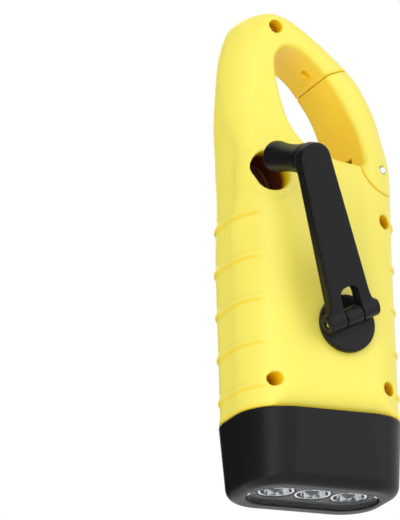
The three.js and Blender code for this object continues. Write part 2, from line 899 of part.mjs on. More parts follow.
/** Frame with a stepped rim, a groove round it and a bevelled window with a ledge for the cell. */
function solarFrame() {
  const back = bodyHalfDepth - frameSink + seatGap;
  const top = bodyHalfDepth + frameProud;
  const low = slabY(frameShape(0), back, top - frameStepDrop);
  const high = slabY(frameShape(-frameStepWidth), back, top);
  const grooveOuter = frameShape(-frameStepWidth - frameGroove);
  grooveOuter.holes.push(frameShape(-frameStepWidth - frameGroove - frameGrooveWidth));
  const groove = slabY(grooveOuter, top - frameGroove, top + overrun);
  const window = slabY(cellShape(0), back - overrun, top + overrun);
  const pocket = slabY(cellShape(solarLedge + seatGap), back - overrun, solarFaceY + seatGap);
  return cut(join(low, high), groove, window, pocket, windowBevel(top));
}

const solarFaceY = bodyHalfDepth - frameSink + seatGap + solarThickness;

/** Outline of the cell's window, grown by a distance. */
function cellShape(grow) {
  return roundedRectangle(
    -solarHalfWidth - grow,
    solarHalfWidth + grow,
    solarBottom - grow,
    solarTop + grow,
    solarLedge,
  );
}

/** Slope from the frame's face down to the cell's window. */
function windowBevel(top) {
  const middle = (solarBottom + solarTop) / 2;
  const corners = (grow, y) => [
    new THREE.Vector3(solarHalfWidth + grow, y, solarTop + grow - middle),
    new THREE.Vector3(-solarHalfWidth - grow, y, solarTop + grow - middle),
    new THREE.Vector3(-solarHalfWidth - grow, y, solarBottom - grow - middle),
    new THREE.Vector3(solarHalfWidth + grow, y, solarBottom - grow - middle),
  ];
  const foot = top - bevelDepth + seatGap;
  const rings = [corners(0, foot), corners(bevelDepth, top), corners(bevelDepth, top + overrun)];
  return loft(rings).translate([0, 0, middle]);
}

/** Thin cell that lies behind the frame's window. */
function solarCell() {
  return slabY(cellShape(solarLedge), solarFaceY - solarThickness, solarFaceY);
}

// Gate

/** Gate: its part of the housing's form, forked round the housing's ear at the pivot. */
function gateSolid(form) {
  const slot = barY(
    gateForkRadius,
    -gateForkHalfGap,
    gateForkHalfGap,
    gatePivotX,
    gatePivotZ,
    roundSides,
  );
  const outerWall = bodySection(gatePivotZ).right - gateForkWall;
  const inward = block(
    gatePivotX - gateForkRadius - overrun,
    outerWall,
    -gateForkHalfGap,
    gateForkHalfGap,
    gatePivotZ - gateForkRadius - overrun,
    gatePivotZ + gateForkRadius + overrun,
  );
  const far = bodyHalfDepth + overrun;
  const hole = barY(gatePinRadius + seatGap, -far, far, gatePivotX, gatePivotZ);
  const blank = form.intersect(gateRoom(0));
  return cut(blank, slot.intersect(inward), hole);
}

/** Coil of the gate's spring with a leg at each end, as one tube. */
function gateSpring() {
  const from = gateTongueSplit + seatGap + gateSpringWire;
  const points = [];
  const turns = gateSpringTurns + 0.5;
  const steps = Math.round(turns * springSteps);
  for (let k = 0; k <= steps; k += 1) {
    const angle = -Math.PI / 2 + (k / springSteps) * 2 * Math.PI;
    const y = from + (gateSpringPitch * k) / springSteps;
    points.push(
      new THREE.Vector3(gateSpringRadius * Math.cos(angle), y, gateSpringRadius * Math.sin(angle)),
    );
  }
  const lowEnd = gateEndRadius - gateSpringWire;
  const highEnd = gateForkRadius - seatGap - gateSpringWire;
  const first = points[0];
  const last = points[points.length - 1];
  const path = new THREE.CatmullRomCurve3([
    new THREE.Vector3(-gateSpringWire, first.y, -lowEnd),
    ...points,
    new THREE.Vector3(-gateSpringWire, last.y, highEnd),
  ]);
  const section = new THREE.Shape().absarc(0, 0, gateSpringWire, 0, 2 * Math.PI, false);
  const geometry = new THREE.ExtrudeGeometry(section, {
    extrudePath: path,
    steps: steps + 4,
    bevelEnabled: false,
    curveSegments: coarseArcSteps,
  });
  return toSolid(geometry);
}

// Crank, drawn about the hub's centre on the housing's face

/** Hub: disc with a knuckle for the arm, and a stepped shaft into the housing. */
function crankHub() {
  const top = -seatGap - hubDiscThickness;
  const shoulder = crankLevel - hubFaceY - seatGap;
  const end = crankLevel - hubFaceY + gearThickness - seatGap / 2;
  const narrow = hubShaftRadius * hubNeckShare;
  const body = turnedY([
    [0, top],
    [hubDiscRadius - hubDiscChamfer, top],
    [hubDiscRadius, top + hubDiscChamfer],
    [hubDiscRadius, -seatGap],
    [hubShaftRadius, -seatGap],
    [hubShaftRadius, shoulder],
    [narrow, shoulder],
    [narrow, end],
    [0, end],
  ]);
  const half = tongueWidth / 2;
  const knuckle = barX(knuckleRadius, -half, half, -hingeHeight, hingeOffset, roundSides);
  const web = block(
    -half,
    half,
    -hingeHeight,
    top + hubDiscChamfer,
    hingeOffset - knuckleRadius,
    hingeOffset + knuckleRadius,
  );
  const pinHole = barX(hingePinRadius + seatGap, -overrun - half, half + overrun, -hingeHeight, hingeOffset);
  const pilot = barY(
    hubScrewRadius + seatGap,
    end - hubScrewLength - seatGap,
    end + overrun,
    0,
    0,
    pinSides,
  );
  return cut(join(body, knuckle, web), pinHole, pilot);
}

/** Arm about its hinge: fork with a window, tapering blade, eye for the knob's rivet. */
function crankArm() {
  const halfRoot = armRootWidth / 2;
  const halfSpan = armKnuckleSpan / 2;
  const halfThick = armThickness / 2;
  const outline = new THREE.Shape();
  outline.moveTo(-halfSpan, 0);
  outline.lineTo(halfSpan, 0);
  outline.lineTo(halfSpan, armFlareFoot);
  outline.quadraticCurveTo(halfRoot, armFlareFoot, halfRoot, armFlareTop);
  outline.lineTo(armTipRadius, armReach);
  outline.absarc(0, armReach, armTipRadius, 0, Math.PI, false);
  outline.lineTo(-halfRoot, armFlareTop);
  outline.quadraticCurveTo(-halfRoot, armFlareFoot, -halfSpan, armFlareFoot);
  const blade = new THREE.ExtrudeGeometry(outline, {
    depth: armThickness - 2 * armEdge,
    bevelEnabled: true,
    bevelThickness: armEdge,
    bevelSize: armEdge,
    bevelOffset: -armEdge,
    bevelSegments: 1,
    curveSegments: fineArcSteps,
  });
  blade.rotateX(Math.PI / 2);
  blade.translate(0, halfThick - armEdge, 0);
  const knuckle = barX(knuckleRadius, -halfSpan, halfSpan, 0, 0, roundSides);
  const halfSlot = tongueWidth / 2 + runGap;
  const slot = roundedRectangle(
    -halfSlot,
    halfSlot,
    -knuckleRadius - overrun,
    armWindow,
    armEdge,
  );
  const pinHole = barX(hingePinRadius + seatGap, -armKnuckleSpan, armKnuckleSpan);
  const eye = barY(rivetRadius + seatGap, armSkin - halfThick, armThickness, 0, armReach);
  return cut(
    join(toSolid(blade), knuckle),
    slabY(slot, -armThickness, armThickness),
    pinHole,
    eye,
  );
}

/** Knob about its axis: turned grip with a waist, bored for the rivet. */
function crankKnob() {
  const near = armThickness / 2 + seatGap;
  const far = knobDepth;
  const bore = rivetRadius + runGap;
  const third = (far - near) / 3;
  return turnedY([
    [bore, near],
    [knobRadius - knobRound, near],
    [knobRadius, near + knobRound],
    [knobWaist, near + third],
    [knobWaist, far - third],
    [knobRadius, far - knobRound],
    [knobRadius - knobRound, far],
    [rivetHeadRadius + runGap, far],
    [rivetHeadRadius + runGap, far - rivetHeadHeight - seatGap],
    [bore, far - rivetHeadHeight - seatGap],
    [bore, near],
  ]);
}

/** Rivet that carries the knob: its shank pressed into the arm, its head in the knob's end. */
function knobRivet() {
  const outer = armSkin + seatGap - armThickness / 2;
  const inner = knobDepth;
  return turnedY(
    [
      [0, outer],
      [rivetRadius, outer],
      [rivetRadius, inner - rivetHeadHeight],
      [rivetHeadRadius, inner - rivetHeadHeight],
      [rivetHeadRadius, inner],
      [0, inner],
    ],
    0,
    0,
    smallSides,
  );
}

// Gears

/** Outline of a gear with straight-flanked teeth, the first one at an angle. */
function gearShape(teeth, phase, boreRadius, holes = []) {
  const pitch = pitchRadius(teeth);
  const tip = pitch + addendumShare * toothModule;
  const root = pitch - dedendumShare * toothModule;
  const toothPitch = (2 * Math.PI) / teeth;
  const halfTip = (tipShare * toothModule * Math.PI) / 2 / tip;
  const halfRoot = (rootShare * toothModule * Math.PI) / 2 / root;
  const points = [];
  for (let k = 0; k < teeth; k += 1) {
    const middle = phase + k * toothPitch;
    const corners = [
      [root, middle - halfRoot],
      [tip, middle - halfTip],
      [tip, middle + halfTip],
      [root, middle + halfRoot],
    ];
    for (const [radius, angle] of corners) {
      points.push(new THREE.Vector2(radius * Math.cos(angle), radius * Math.sin(angle)));
    }
  }
  const shape = new THREE.Shape(points);
  shape.holes.push(new THREE.Path().absarc(0, 0, boreRadius, 0, 2 * Math.PI, true), ...holes);
  return shape;
}

/** Angle of a driven gear's first tooth, so that its gap meets the driver's tooth. */
function meshPhase(driverPhase, driverTeeth, direction, drivenTeeth) {
  const driverPitch = (2 * Math.PI) / driverTeeth;
  const drivenPitch = (2 * Math.PI) / drivenTeeth;
  const offset = (driverPhase - direction) / driverPitch;
  return direction + Math.PI - drivenPitch * (offset - 0.5);
}

const pinionOnePhase = meshPhase(0, crankTeeth, radians(firstAxleAngle), pinionTeeth);
const pinionTwoPhase = meshPhase(0, firstWheelTeeth, radians(secondAxleAngle), pinionTeeth);
const rotorPhase = meshPhase(0, secondWheelTeeth, radians(rotorAngle), pinionTeeth);

/** Crank gear with round lightening holes. */
function crankGear() {
  const holes = [];
  for (let k = 0; k < lighteningCount; k += 1) {
    const angle = (2 * Math.PI * k) / lighteningCount;
    const x = lighteningPlace * Math.cos(angle);
    const z = lighteningPlace * Math.sin(angle);
    holes.push(new THREE.Path().absarc(x, z, lighteningRadius, 0, 2 * Math.PI, true));
  }
  const bore = hubShaftRadius * hubNeckShare + seatGap;
  const shape = gearShape(crankTeeth, 0, bore, holes);
  return slabY(shape, crankLevel, crankLevel + gearThickness);
}

/** Pinion and wheel on one hub, from one level of the train to the next. */
function compoundGear(level, phase, wheelTeeth) {
  const bore = axleRadius + runGap;
  const next = level + gearThickness + gearSideGap;
  const pinion = slabY(gearShape(pinionTeeth, phase, bore), level, next + gearThickness);
  const wheel = slabY(gearShape(wheelTeeth, 0, bore), next, next + gearThickness);
  return join(pinion, wheel);
}

/** Rotor: the last pinion, and the sleeve that the magnet sits on. */
function rotorHub() {
  const bore = axleRadius + runGap;
  const pinion = slabY(
    gearShape(pinionTeeth, rotorPhase, bore),
    secondLevel,
    secondLevel + gearThickness + gearSideGap,
  );
  const sleeve = turnedY([
    [bore, secondLevel + gearThickness],
    [magnetHubRadius, secondLevel + gearThickness],
    [magnetHubRadius, plateY - seatGap],
    [bore, plateY - seatGap],
    [bore, secondLevel + gearThickness],
  ], 0, 0, smallSides);
  return join(pinion, sleeve);
}

/** Ring magnet on the rotor's sleeve. */
function ringMagnet() {
  const top = plateY - seatGap;
  const inner = magnetHubRadius + seatGap;
  return turnedY([
    [inner, top - magnetLength],
    [magnetRadius, top - magnetLength],
    [magnetRadius, top],
    [inner, top],
    [inner, top - magnetLength],
  ], 0, 0, roundSides);
}

/** Blocks that stand round the magnet like a stator's poles, between two radii. */
function poleRing(fromRadius, toRadius, yFrom, yTo, width) {
  const poles = [];
  for (let k = 0; k < statorPoles; k += 1) {
    const pole = block(fromRadius, toRadius, yFrom, yTo, -width / 2, width / 2);
    poles.push(pole.rotate([0, (360 * k) / statorPoles, 0]));
  }
  return join(...poles);
}

/** Stator: yoke ring with poles that reach in toward the magnet. */
function statorYoke() {
  const foot = statorTop - statorLength;
  const inner = statorRadius - statorYokeWall;
  const yoke = cut(
    barY(statorRadius, foot, statorTop, 0, 0, roundSides),
    barY(inner, foot - overrun, statorTop + overrun, 0, 0, roundSides),
  );
  const poles = poleRing(
    magnetRadius + runGap,
    inner + statorYokeWall / 2,
    foot + coilOverhang + seatGap,
    statorTop - coilOverhang - seatGap,
    statorPoleWidth,
  );
  return join(yoke, poles);
}

/** Coil wound round one of the stator's poles, the one at +X. */
function statorCoil() {
  const inner = statorRadius - statorYokeWall - 2 * seatGap;
  const nose = magnetRadius + runGap + seatGap;
  const foot = statorTop - statorLength;
  const half = statorPoleWidth / 2 + coilOverhang;
  const outer = block(nose, inner, foot, statorTop, -half, half);
  const core = block(
    nose - overrun,
    inner + overrun,
    foot + coilOverhang,
    statorTop - coilOverhang,
    -statorPoleWidth / 2 - seatGap,
    statorPoleWidth / 2 + seatGap,
  );
  return cut(outer, core);
}

/** Plain steel axle from the shell's post to the plate. */
function gearAxle() {
  return barY(axleRadius, innerFaceY - axleSink, plateFrontY, 0, 0, pinSides);
}

/** Pan-head screw with a cross recess, its head's face at y 0 and its shank along +Y. */
function screwSolid(headRadius, headHeight, shankRadius, length) {
  const body = turnedY(
    [
      [0, 0],
      [headRadius * screwDomeShare, 0],
      [headRadius, headHeight / 2],
      [headRadius, headHeight],
      [shankRadius, headHeight],
      [shankRadius, length - shankRadius],
      [0, length],
    ],
    0,
    0,
    pinSides,
  );
  const reach = headRadius * screwCrossShare;
  const half = screwCrossWidth / 2;
  const deep = screwCrossDepth;
  return cut(
    body,
    block(-reach, reach, -overrun, deep, -half, half),
    block(-half, half, -overrun, deep, -reach, reach),
  );
}

/** Plate that closes the gearbox, with ears over the posts. */
function gearPlate() {
  const blank = roundedRectangle(-plateHalfWidth, plateHalfWidth, plateBottom, plateTop, plateCorner);
  const ears = postPlaces.map(([x, z]) => {
    const tie = block(
      Math.min(x, 0),
      Math.max(x, 0),
      plateY,
      plateFrontY,
      z - postRadius,
      z + postRadius,
    );
    return join(barY(postRadius, plateY, plateFrontY, x, z), tie);
  });
  const axleHoles = axlePlaces.map(([x, z]) =>
    barY(axleRadius + seatGap, plateY - overrun, plateFrontY + overrun, x, z, pinSides),
  );
  const screwHoles = postPlaces.map(([x, z]) =>
    barY(postPilotRadius + seatGap, plateY - overrun, plateFrontY + overrun, x, z, pinSides),
  );
  const plate = join(slabY(blank, plateY, plateFrontY, coarseArcSteps), ...ears);
  return cut(plate, ...axleHoles, ...screwHoles);
}

// Electronics

/** Main board with a notch round each screw boss that it would meet. */
function mainBoard() {
  const blank = roundedRectangle(
    -boardHalfWidth,
    boardHalfWidth,
    boardBottom,
    boardTop,
    boardCorner,
  );
  const notches = screwPlaces
    .slice(0, 3)
    .map(({ x, z }) =>
      barY(screwBossRadius + seatGap, boardY - overrun, boardY + boardThickness + overrun, x, z),
    );
  const tab = block(
    0,
    switchBodyEnd,
    boardY,
    boardY + boardThickness,
    buttonZ - switchHalfWidth,
    buttonZ + switchHalfWidth,
  );
  return cut(join(slabY(blank, boardY, boardY + boardThickness, coarseArcSteps), tab), ...notches);
}

/** Coin cell with a stepped rim. */
function coinCell() {
  return turnedY(
    [
      [0, 0],
      [cellRadius - cellStep, 0],
      [cellRadius, cellStep],
      [cellRadius, cellThickness],
      [0, cellThickness],
    ],
    0,
    0,
    roundSides,
  );
}

/** Push button: cap through the wall, flange behind it. */
function pushButton() {
  const wallInside = buttonSideX - wall;
  const flangeOut = wallInside - seatGap;
  const cap = new THREE.LatheGeometry(
    [
      [0, buttonSideX + buttonProud],
      [buttonRadius - buttonRound, buttonSideX + buttonProud],
      [buttonRadius, buttonSideX + buttonProud - buttonRound],
      [buttonRadius, flangeOut],
      [buttonRadius + buttonFlange, flangeOut],
      [buttonRadius + buttonFlange, flangeOut - buttonFlangeThickness],
      [0, flangeOut - buttonFlangeThickness],
    ].map(([radius, along]) => new THREE.Vector2(radius, along)),
    roundSides,
  );
  cap.rotateZ(-Math.PI / 2);
  return toSolid(cap);
}

/** Tactile switch under the button: a body on the board and a stem toward the button. */
function switchBody() {
  const body = block(
    switchBodyEnd - switchLength,
    switchBodyEnd,
    -switchHalfWidth,
    boardY - seatGap,
    -switchHalfWidth,
    switchHalfWidth,
  );
  return join(body, barX(switchStemRadius, switchBodyEnd - overrun, switchStemEnd));
}

// Head

/** One ring of the head's outside, drawn in toward the rim. */
function headRing(z, inset) {
  const section = bodySection(headHeight);
  const drop = 1 - z / headHeight;
  const narrowed = {
    left: section.left + headTaper * drop,
    right: section.right - headTaper * drop,
    depth: section.depth - headDepthTaper * drop,
    corner: section.corner - headDepthTaper * drop,
  };
  return sectionRing(narrowed, z, inset, 0);
}

/** Head: tapered cup with a rounded rim, a lamp deck and a neck that plugs into the shells. */
function headBezel() {
  const edges = headEdgeShares.map((share) => {
    const angle = share * (Math.PI / 2);
    return headRing(headEdge * (1 - Math.cos(angle)), headEdge * (1 - Math.sin(angle)));
  });
  const outside = loft([...edges, headRing(headHeight / 2, 0), headRing(headHeight, 0)]);
  const neckTop = headHeight + neckHeight;
  const neckInset = wall + seatGap;
  const neck = loft([
    headRing(headHeight - overrun, neckInset),
    sectionRing(bodySection(neckTop), neckTop, neckInset, 0),
  ]);
  const deckTop = windowDepth + deckThickness;
  const inside = loft([
    headRing(deckTop, headWall),
    headRing(headHeight - overrun, neckInset + neckWall),
    sectionRing(bodySection(neckTop), neckTop + overrun, neckInset + neckWall, 0),
  ]);
  const recess = slabZ(stadium(windowHalfLength, windowHalfWidth), -overrun, windowDepth, fineArcSteps);
  const mouths = lampPlaces.map((x) =>
    barZ(cupMouth + seatGap, windowDepth - overrun, deckTop + overrun, x, 0, cupSides),
  );
  return cut(join(outside, neck), inside, recess, ...mouths);
}

const lampPlaces = Array.from({ length: lampCount }, (_, k) => (k - (lampCount - 1) / 2) * lampPitch);
const cupFoot = windowDepth + seatGap;
const flangeZ = windowDepth + deckThickness + seatGap;
const cupTop = cupFoot + cupDepth;
const ledBoardZ = cupTop + seatGap;

/** Round bar along Z. */
function barZ(radius, zFrom, zTo, x = 0, y = 0, sides = smallSides) {
  const geometry = new THREE.CylinderGeometry(radius, radius, zTo - zFrom, sides);
  geometry.rotateX(Math.PI / 2);
  geometry.translate(x, y, (zFrom + zTo) / 2);
  return toSolid(geometry);
}

/** Turned form about a vertical axis from a profile of [radius, z] points. */
function turnedZ(profile, x, sides = roundSides) {
  const points = profile.map(([radius, z]) => new THREE.Vector2(radius, z));
  const geometry = new THREE.LatheGeometry(points, sides);
  geometry.rotateX(Math.PI / 2);
  geometry.translate(x, 0, 0);
  return toSolid(geometry);
}

/** Reflector: three cups whose bowls are parabolas, on one flange. */
function reflector() {
  const bowl = (outward) => {
    const profile = [];
    for (let k = 0; k <= cupRings; k += 1) {
      const down = k / cupRings;
      const radius = cupThroat + (cupMouth - cupWall - cupThroat) * Math.sqrt(down);
      profile.push([radius + outward, cupTop - cupDepth * down]);
    }
    return profile;
  };
  const cups = lampPlaces.map((x) => {
    const skin = [...bowl(0), ...bowl(cupWall).reverse()];
    return turnedZ([...skin, skin[0]], x, cupSides);
  });
  const flange = slabZ(
    stadium(lampPitch + cupMouth + cupFlangeMargin, cupMouth + cupFlangeMargin),
    flangeZ,
    flangeZ + cupFlangeThickness,
  );
  const bores = lampPlaces.map((x) =>
    turnedZ([[0, cupFoot], ...bowl(cupWall / 2).reverse(), [0, cupTop]], x, cupSides),
  );
  return join(cut(flange, ...bores), ...cups);
}

/** Clear window that lies in the recess below the cups. */
function lensWindow() {
  const shape = stadium(windowHalfLength - seatGap, windowHalfWidth - seatGap);
  const top = windowDepth - seatGap;
  return slabZ(shape, top - lensThickness, top, fineArcSteps);
}

/** Board that carries the three lamps, above the reflector. */
function ledBoard() {
  const half = windowHalfLength - ledBoardMargin;
  const shape = stadium(half, windowHalfWidth + ledBoardMargin);
  return slabZ(shape, ledBoardZ, ledBoardZ + ledBoardThickness);
}

/** Lamp with a domed nose that points down into its cup. */
function ledLamp(x) {
  const foot = ledBoardZ - seatGap;
  const dome = foot - ledLength + ledRadius;
  const profile = [[0, foot]];
  profile.push([ledRadius, foot], [ledRadius, dome]);
  for (let k = 1; k <= 3; k += 1) {
    const angle = (k / 3) * (Math.PI / 2);
    profile.push([ledRadius * Math.cos(angle), dome - ledRadius * Math.sin(angle)]);
  }
  profile[profile.length - 1][0] = 0;
  return turnedZ(profile, x, smallSides);
}

/** Bush in the back shell that the hub's shaft turns in. */
function hubBush() {
  const bore = hubShaftRadius + runGap;
  const sleeve = bore + bushWall;
  const flangeFoot = innerFaceY + seatGap;
  const flangeTop = flangeFoot + bushFlangeThickness;
  return turnedY([
    [bore, hubFaceY],
    [sleeve, hubFaceY],
    [sleeve, flangeFoot],
    [sleeve + bushFlange, flangeFoot],
    [sleeve + bushFlange, flangeTop],
    [bore, flangeTop],
    [bore, hubFaceY],
  ], 0, 0, roundSides);
}

// Assembly: fixed pieces first, then what turns, swings or slides in groups at its own axis

const form = cut(outerForm(), loopTool());
const housing = cut(form, gateRoom(runGap));
const room = cavity();

/** Empty group at a place, for pieces that move together. */
function groupAt(parent, x, y, z) {
  const group = new THREE.Group();
  group.position.set(x, y, z);
  parent.add(group);
  return group;
}

function addHousing() {
  addPiece('front_shell', frontShell(housing, room), yellowShell);
  addPiece('back_shell', backShell(housing, room), yellowShell);
  screwPlaces.forEach(({ x, z, sink, length }, k) => {
    const screw = screwSolid(screwHeadRadius, screwHeadHeight, screwRadius, length);
    const y = -faceDepth(x, z) + sink - screwHeadHeight - seatGap;
    addPiece(`housing_screw_${k + 1}`, screw, steel, flashlight, [x, y, z]);
  });
}

function addHead() {
  addPiece('head_bezel', headBezel(), blackShell);
  addPiece('lens_window', lensWindow(), clearPlastic);
  addPiece('reflector', reflector(), chrome);
  addPiece('led_board', ledBoard(), greenBoard);
  lampPlaces.forEach((x, k) => addPiece(`led_${k + 1}`, ledLamp(x), clearPlastic));
}

function addSolarPanel() {
  addPiece('solar_frame', solarFrame(), blackShell);
  addPiece('solar_cell', solarCell(), cellFilm);
}

function addGate() {
  const pivot = groupAt(flashlight, gatePivotX, 0, gatePivotZ);
  const gate = gateSolid(form).translate([-gatePivotX, 0, -gatePivotZ]);
  const face = faceDepth(gatePivotX, gatePivotZ);
  addPiece('gate', gate, yellowShell, pivot);
  addPiece('gate_pin', barY(gatePinRadius, -face + gatePinInset, face - gatePinShortfall), steel, pivot);
  addPiece('gate_spring', gateSpring(), steel, pivot);
}

function addElectronics() {
  addPiece('main_board', mainBoard(), greenBoard);
  for (let k = 0; k < cellCount; k += 1) {
    const y = boardY + boardThickness + seatGap + k * (cellThickness + seatGap);
    addPiece(`coin_cell_${k + 1}`, coinCell(), steel, flashlight, [0, y, cellZ]);
  }
  addPiece('button_switch', switchBody(), blackShell, flashlight, [0, 0, buttonZ]);
  addPiece('push_button', pushButton(), blackShell, flashlight, [0, 0, buttonZ]);
}

function addDynamo() {
  addPiece('gear_plate', gearPlate(), whiteNylon);
  postPlaces.forEach(([x, z], k) => {
    const screw = screwSolid(
      plateScrewHeadRadius,
      plateScrewHeadHeight,
      postPilotRadius,
      plateScrewLength,
    ).rotate([180, 0, 0]);
    const y = plateFrontY + seatGap + plateScrewHeadHeight;
    addPiece(`plate_screw_${k + 1}`, screw, steel, flashlight, [x, y, z]);
  });
  const [first, second, rotor] = axlePlaces.map(([x, z]) => groupAt(flashlight, x, 0, z));
  addPiece('first_axle', gearAxle(), steel, first);
  addPiece('first_gear', compoundGear(crankLevel, pinionOnePhase, firstWheelTeeth), whiteNylon, first);
  addPiece('second_axle', gearAxle(), steel, second);
  addPiece('second_gear', compoundGear(firstLevel, pinionTwoPhase, secondWheelTeeth), whiteNylon, second);
  addPiece('rotor_axle', gearAxle(), steel, rotor);
  addPiece('rotor', rotorHub(), whiteNylon, rotor);
  addPiece('rotor_magnet', ringMagnet(), ferrite, rotor);
  addPiece('stator_yoke', statorYoke(), steel, rotor);
  for (let k = 0; k < statorPoles; k += 1) {
    const coil = addPiece(`stator_coil_${k + 1}`, statorCoil(), copper, rotor);
    coil.rotation.y = (2 * Math.PI * k) / statorPoles;
  }
}

function addCrank() {
  const hubAxis = groupAt(flashlight, hubX, 0, hubZ);
  addPiece('hub_bush', hubBush(), whiteNylon, hubAxis);
  addPiece('crank_gear', crankGear(), whiteNylon, hubAxis);
  const hubScrew = screwSolid(
    hubScrewHeadRadius,
    hubScrewHeadHeight,
    hubScrewRadius,
    hubScrewLength,
  ).rotate([180, 0, 0]);
  const screwY = crankLevel + gearThickness + seatGap + hubScrewHeadHeight;
  addPiece('hub_screw', hubScrew, steel, hubAxis, [0, screwY, 0]);
  const hub = groupAt(hubAxis, 0, hubFaceY, 0);
  hub.rotation.y = -armStowAngle;
  addPiece('crank_hub', crankHub(), blackShell, hub);
  const hinge = groupAt(hub, 0, -hingeHeight, hingeOffset);
  hinge.rotation.x = radians(armLift);
  addPiece('crank_arm', crankArm(), blackShell, hinge);
  const pinHalf = armKnuckleSpan / 2 - armEdge;
  addPiece('hinge_pin', barX(hingePinRadius, -pinHalf, pinHalf), steel, hinge);
  addPiece('knob_rivet', knobRivet(), blackShell, hinge, [0, 0, armReach]);
  addPiece('crank_knob', crankKnob(), blackShell, hinge, [0, 0, armReach]);
}

addHousing();
addHead();
addSolarPanel();
addGate();
addElectronics();
addDynamo();
addCrank();

// The part's origin lies under the middle of its box, on the plane that the head stands on
const box = new THREE.Box3().setFromObject(flashlight, true);
const middle = box.getCenter(new THREE.Vector3());
flashlight.position.set(-middle.x, -middle.y, -box.min.z);

export default flashlight;
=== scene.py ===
"""Dressed model of a hand crank flashlight: moulded shells, gate, lamp head, solar panel and crank.

Every size is in millimetres in the maker's drawing frame and is turned into the row frame's
metres when a mesh is made. Moulded forms are distance fields that are meshed on a fine grid.
"""

from __future__ import annotations

import json
import logging
import math
from dataclasses import dataclass, field
from enum import Enum
from functools import reduce
from typing import Callable, Sequence

import bpy
import numpy as np
from mathutils import Matrix, Vector

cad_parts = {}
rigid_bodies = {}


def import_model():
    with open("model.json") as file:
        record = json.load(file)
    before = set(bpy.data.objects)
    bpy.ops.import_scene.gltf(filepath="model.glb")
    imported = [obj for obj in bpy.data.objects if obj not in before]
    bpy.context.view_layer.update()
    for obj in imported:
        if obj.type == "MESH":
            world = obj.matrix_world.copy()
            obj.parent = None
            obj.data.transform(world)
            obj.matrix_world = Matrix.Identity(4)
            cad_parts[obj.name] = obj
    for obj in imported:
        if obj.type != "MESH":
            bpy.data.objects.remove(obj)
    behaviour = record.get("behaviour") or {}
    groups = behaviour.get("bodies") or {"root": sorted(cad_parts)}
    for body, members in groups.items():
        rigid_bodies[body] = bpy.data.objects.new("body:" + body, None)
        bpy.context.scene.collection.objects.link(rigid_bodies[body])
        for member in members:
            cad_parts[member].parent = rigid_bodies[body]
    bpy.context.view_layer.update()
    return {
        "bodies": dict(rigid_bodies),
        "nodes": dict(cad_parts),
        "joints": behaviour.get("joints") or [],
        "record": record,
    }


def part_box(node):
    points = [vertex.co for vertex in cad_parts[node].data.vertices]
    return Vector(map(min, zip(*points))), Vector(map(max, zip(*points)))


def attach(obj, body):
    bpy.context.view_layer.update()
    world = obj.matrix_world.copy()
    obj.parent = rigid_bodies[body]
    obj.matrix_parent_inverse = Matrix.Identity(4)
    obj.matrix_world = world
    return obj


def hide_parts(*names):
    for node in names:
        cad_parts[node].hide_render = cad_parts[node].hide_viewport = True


LOG = logging.getLogger("flashlight")
Array = np.ndarray
Point = tuple[float, float, float]
Flat = tuple[float, float]
Swatch = tuple[int, int, int]
SEAT_GAP = 0.3  # between a piece and its seat
RUN_GAP = 0.35  # between pieces that turn on each other
SPLIT_GAP = -0.3  # below zero, so that the two shells overlap and no gap shows
AXIS = 0.02  # radius of a turned form where it closes on its axis
CELL = (33.8, 72.3)  # bottom and top of the solar cell's window
WHITE = (1, 1, 1, 1)
BLOCK_EDGE = 0.8  # how far a grid goes on past the form in it


class Body(str, Enum):
    """Bodies of the row that pieces ride on."""

    HOUSING = "housing"
    CRANK = "crank"
    ARM = "folding_arm"
    KNOB = "knob"
    GATE = "gate"
    BUTTON = "button"


class Slot(str, Enum):
    """Material slots of the record."""

    YELLOW = "yellow_shell"
    BLACK = "black_shell"
    WINDOW = "clear_window"
    LAMP = "clear_lamp"
    CHROME = "chrome"
    STEEL = "steel"


# Distance fields


def meet(a: Array, b: Array, radius: float | Array) -> Array:
    """What two fields share, with the edge between them rounded.

    Args:
        a: First field, negative inside.
        b: Second field, negative inside.
        radius: Radius of the rounded edge.

    Returns:
        The field of the shared form.
    """
    near = np.hypot(np.maximum(a + radius, 0), np.maximum(b + radius, 0))
    return np.minimum(np.maximum(a, b), -radius) + near


def carve(base: Array, tool: Array, radius: float = 0.0) -> Array:
    """Base with a tool taken away and the new edge rounded.

    Args:
        base: Field of the form.
        tool: Field of what is taken away.
        radius: Radius of the edge, or zero for a sharp one.

    Returns:
        The field of what is left.
    """
    return meet(base, -tool, radius) if radius else np.maximum(base, -tool)


def fuse(a: Array, b: Array, radius: float = 0.0) -> Array:
    """Two forms joined, with a fillet where they meet.

    Args:
        a: First field.
        b: Second field.
        radius: Radius of the fillet, or zero for none.

    Returns:
        The field of both together.
    """
    if not radius:
        return np.minimum(a, b)
    near = np.hypot(np.maximum(radius - a, 0), np.maximum(radius - b, 0))
    return np.maximum(np.minimum(a, b), radius) - near


def smooth(value: Array, low: float, high: float) -> Array:
    """Soft step from 0 at low to 1 at high."""
    t = np.clip((value - low) / (high - low), 0, 1)
    return t * t * (3 - 2 * t)


def both(*fields: Array) -> Array:
    """What several fields share, with sharp edges."""
    return reduce(np.maximum, fields)


def bar(at: Places, x: float, z: float, radius: float) -> Array:
    """Field of an endless round bar that runs along the depth axis."""
    return np.hypot(at.x - x, at.z - z) - radius


def pulled(a: Sequence[float], b: Sequence[float], c: Sequence[float], steps: int) -> list[Flat]:
    """Points on a curve from a to c that b pulls on."""
    a, b, c = (np.asarray(point, float) for point in (a, b, c))
    return [tuple((1 - t) ** 2 * a + 2 * t * (1 - t) * b + t * t * c) for t in np.linspace(0, 1, steps)]


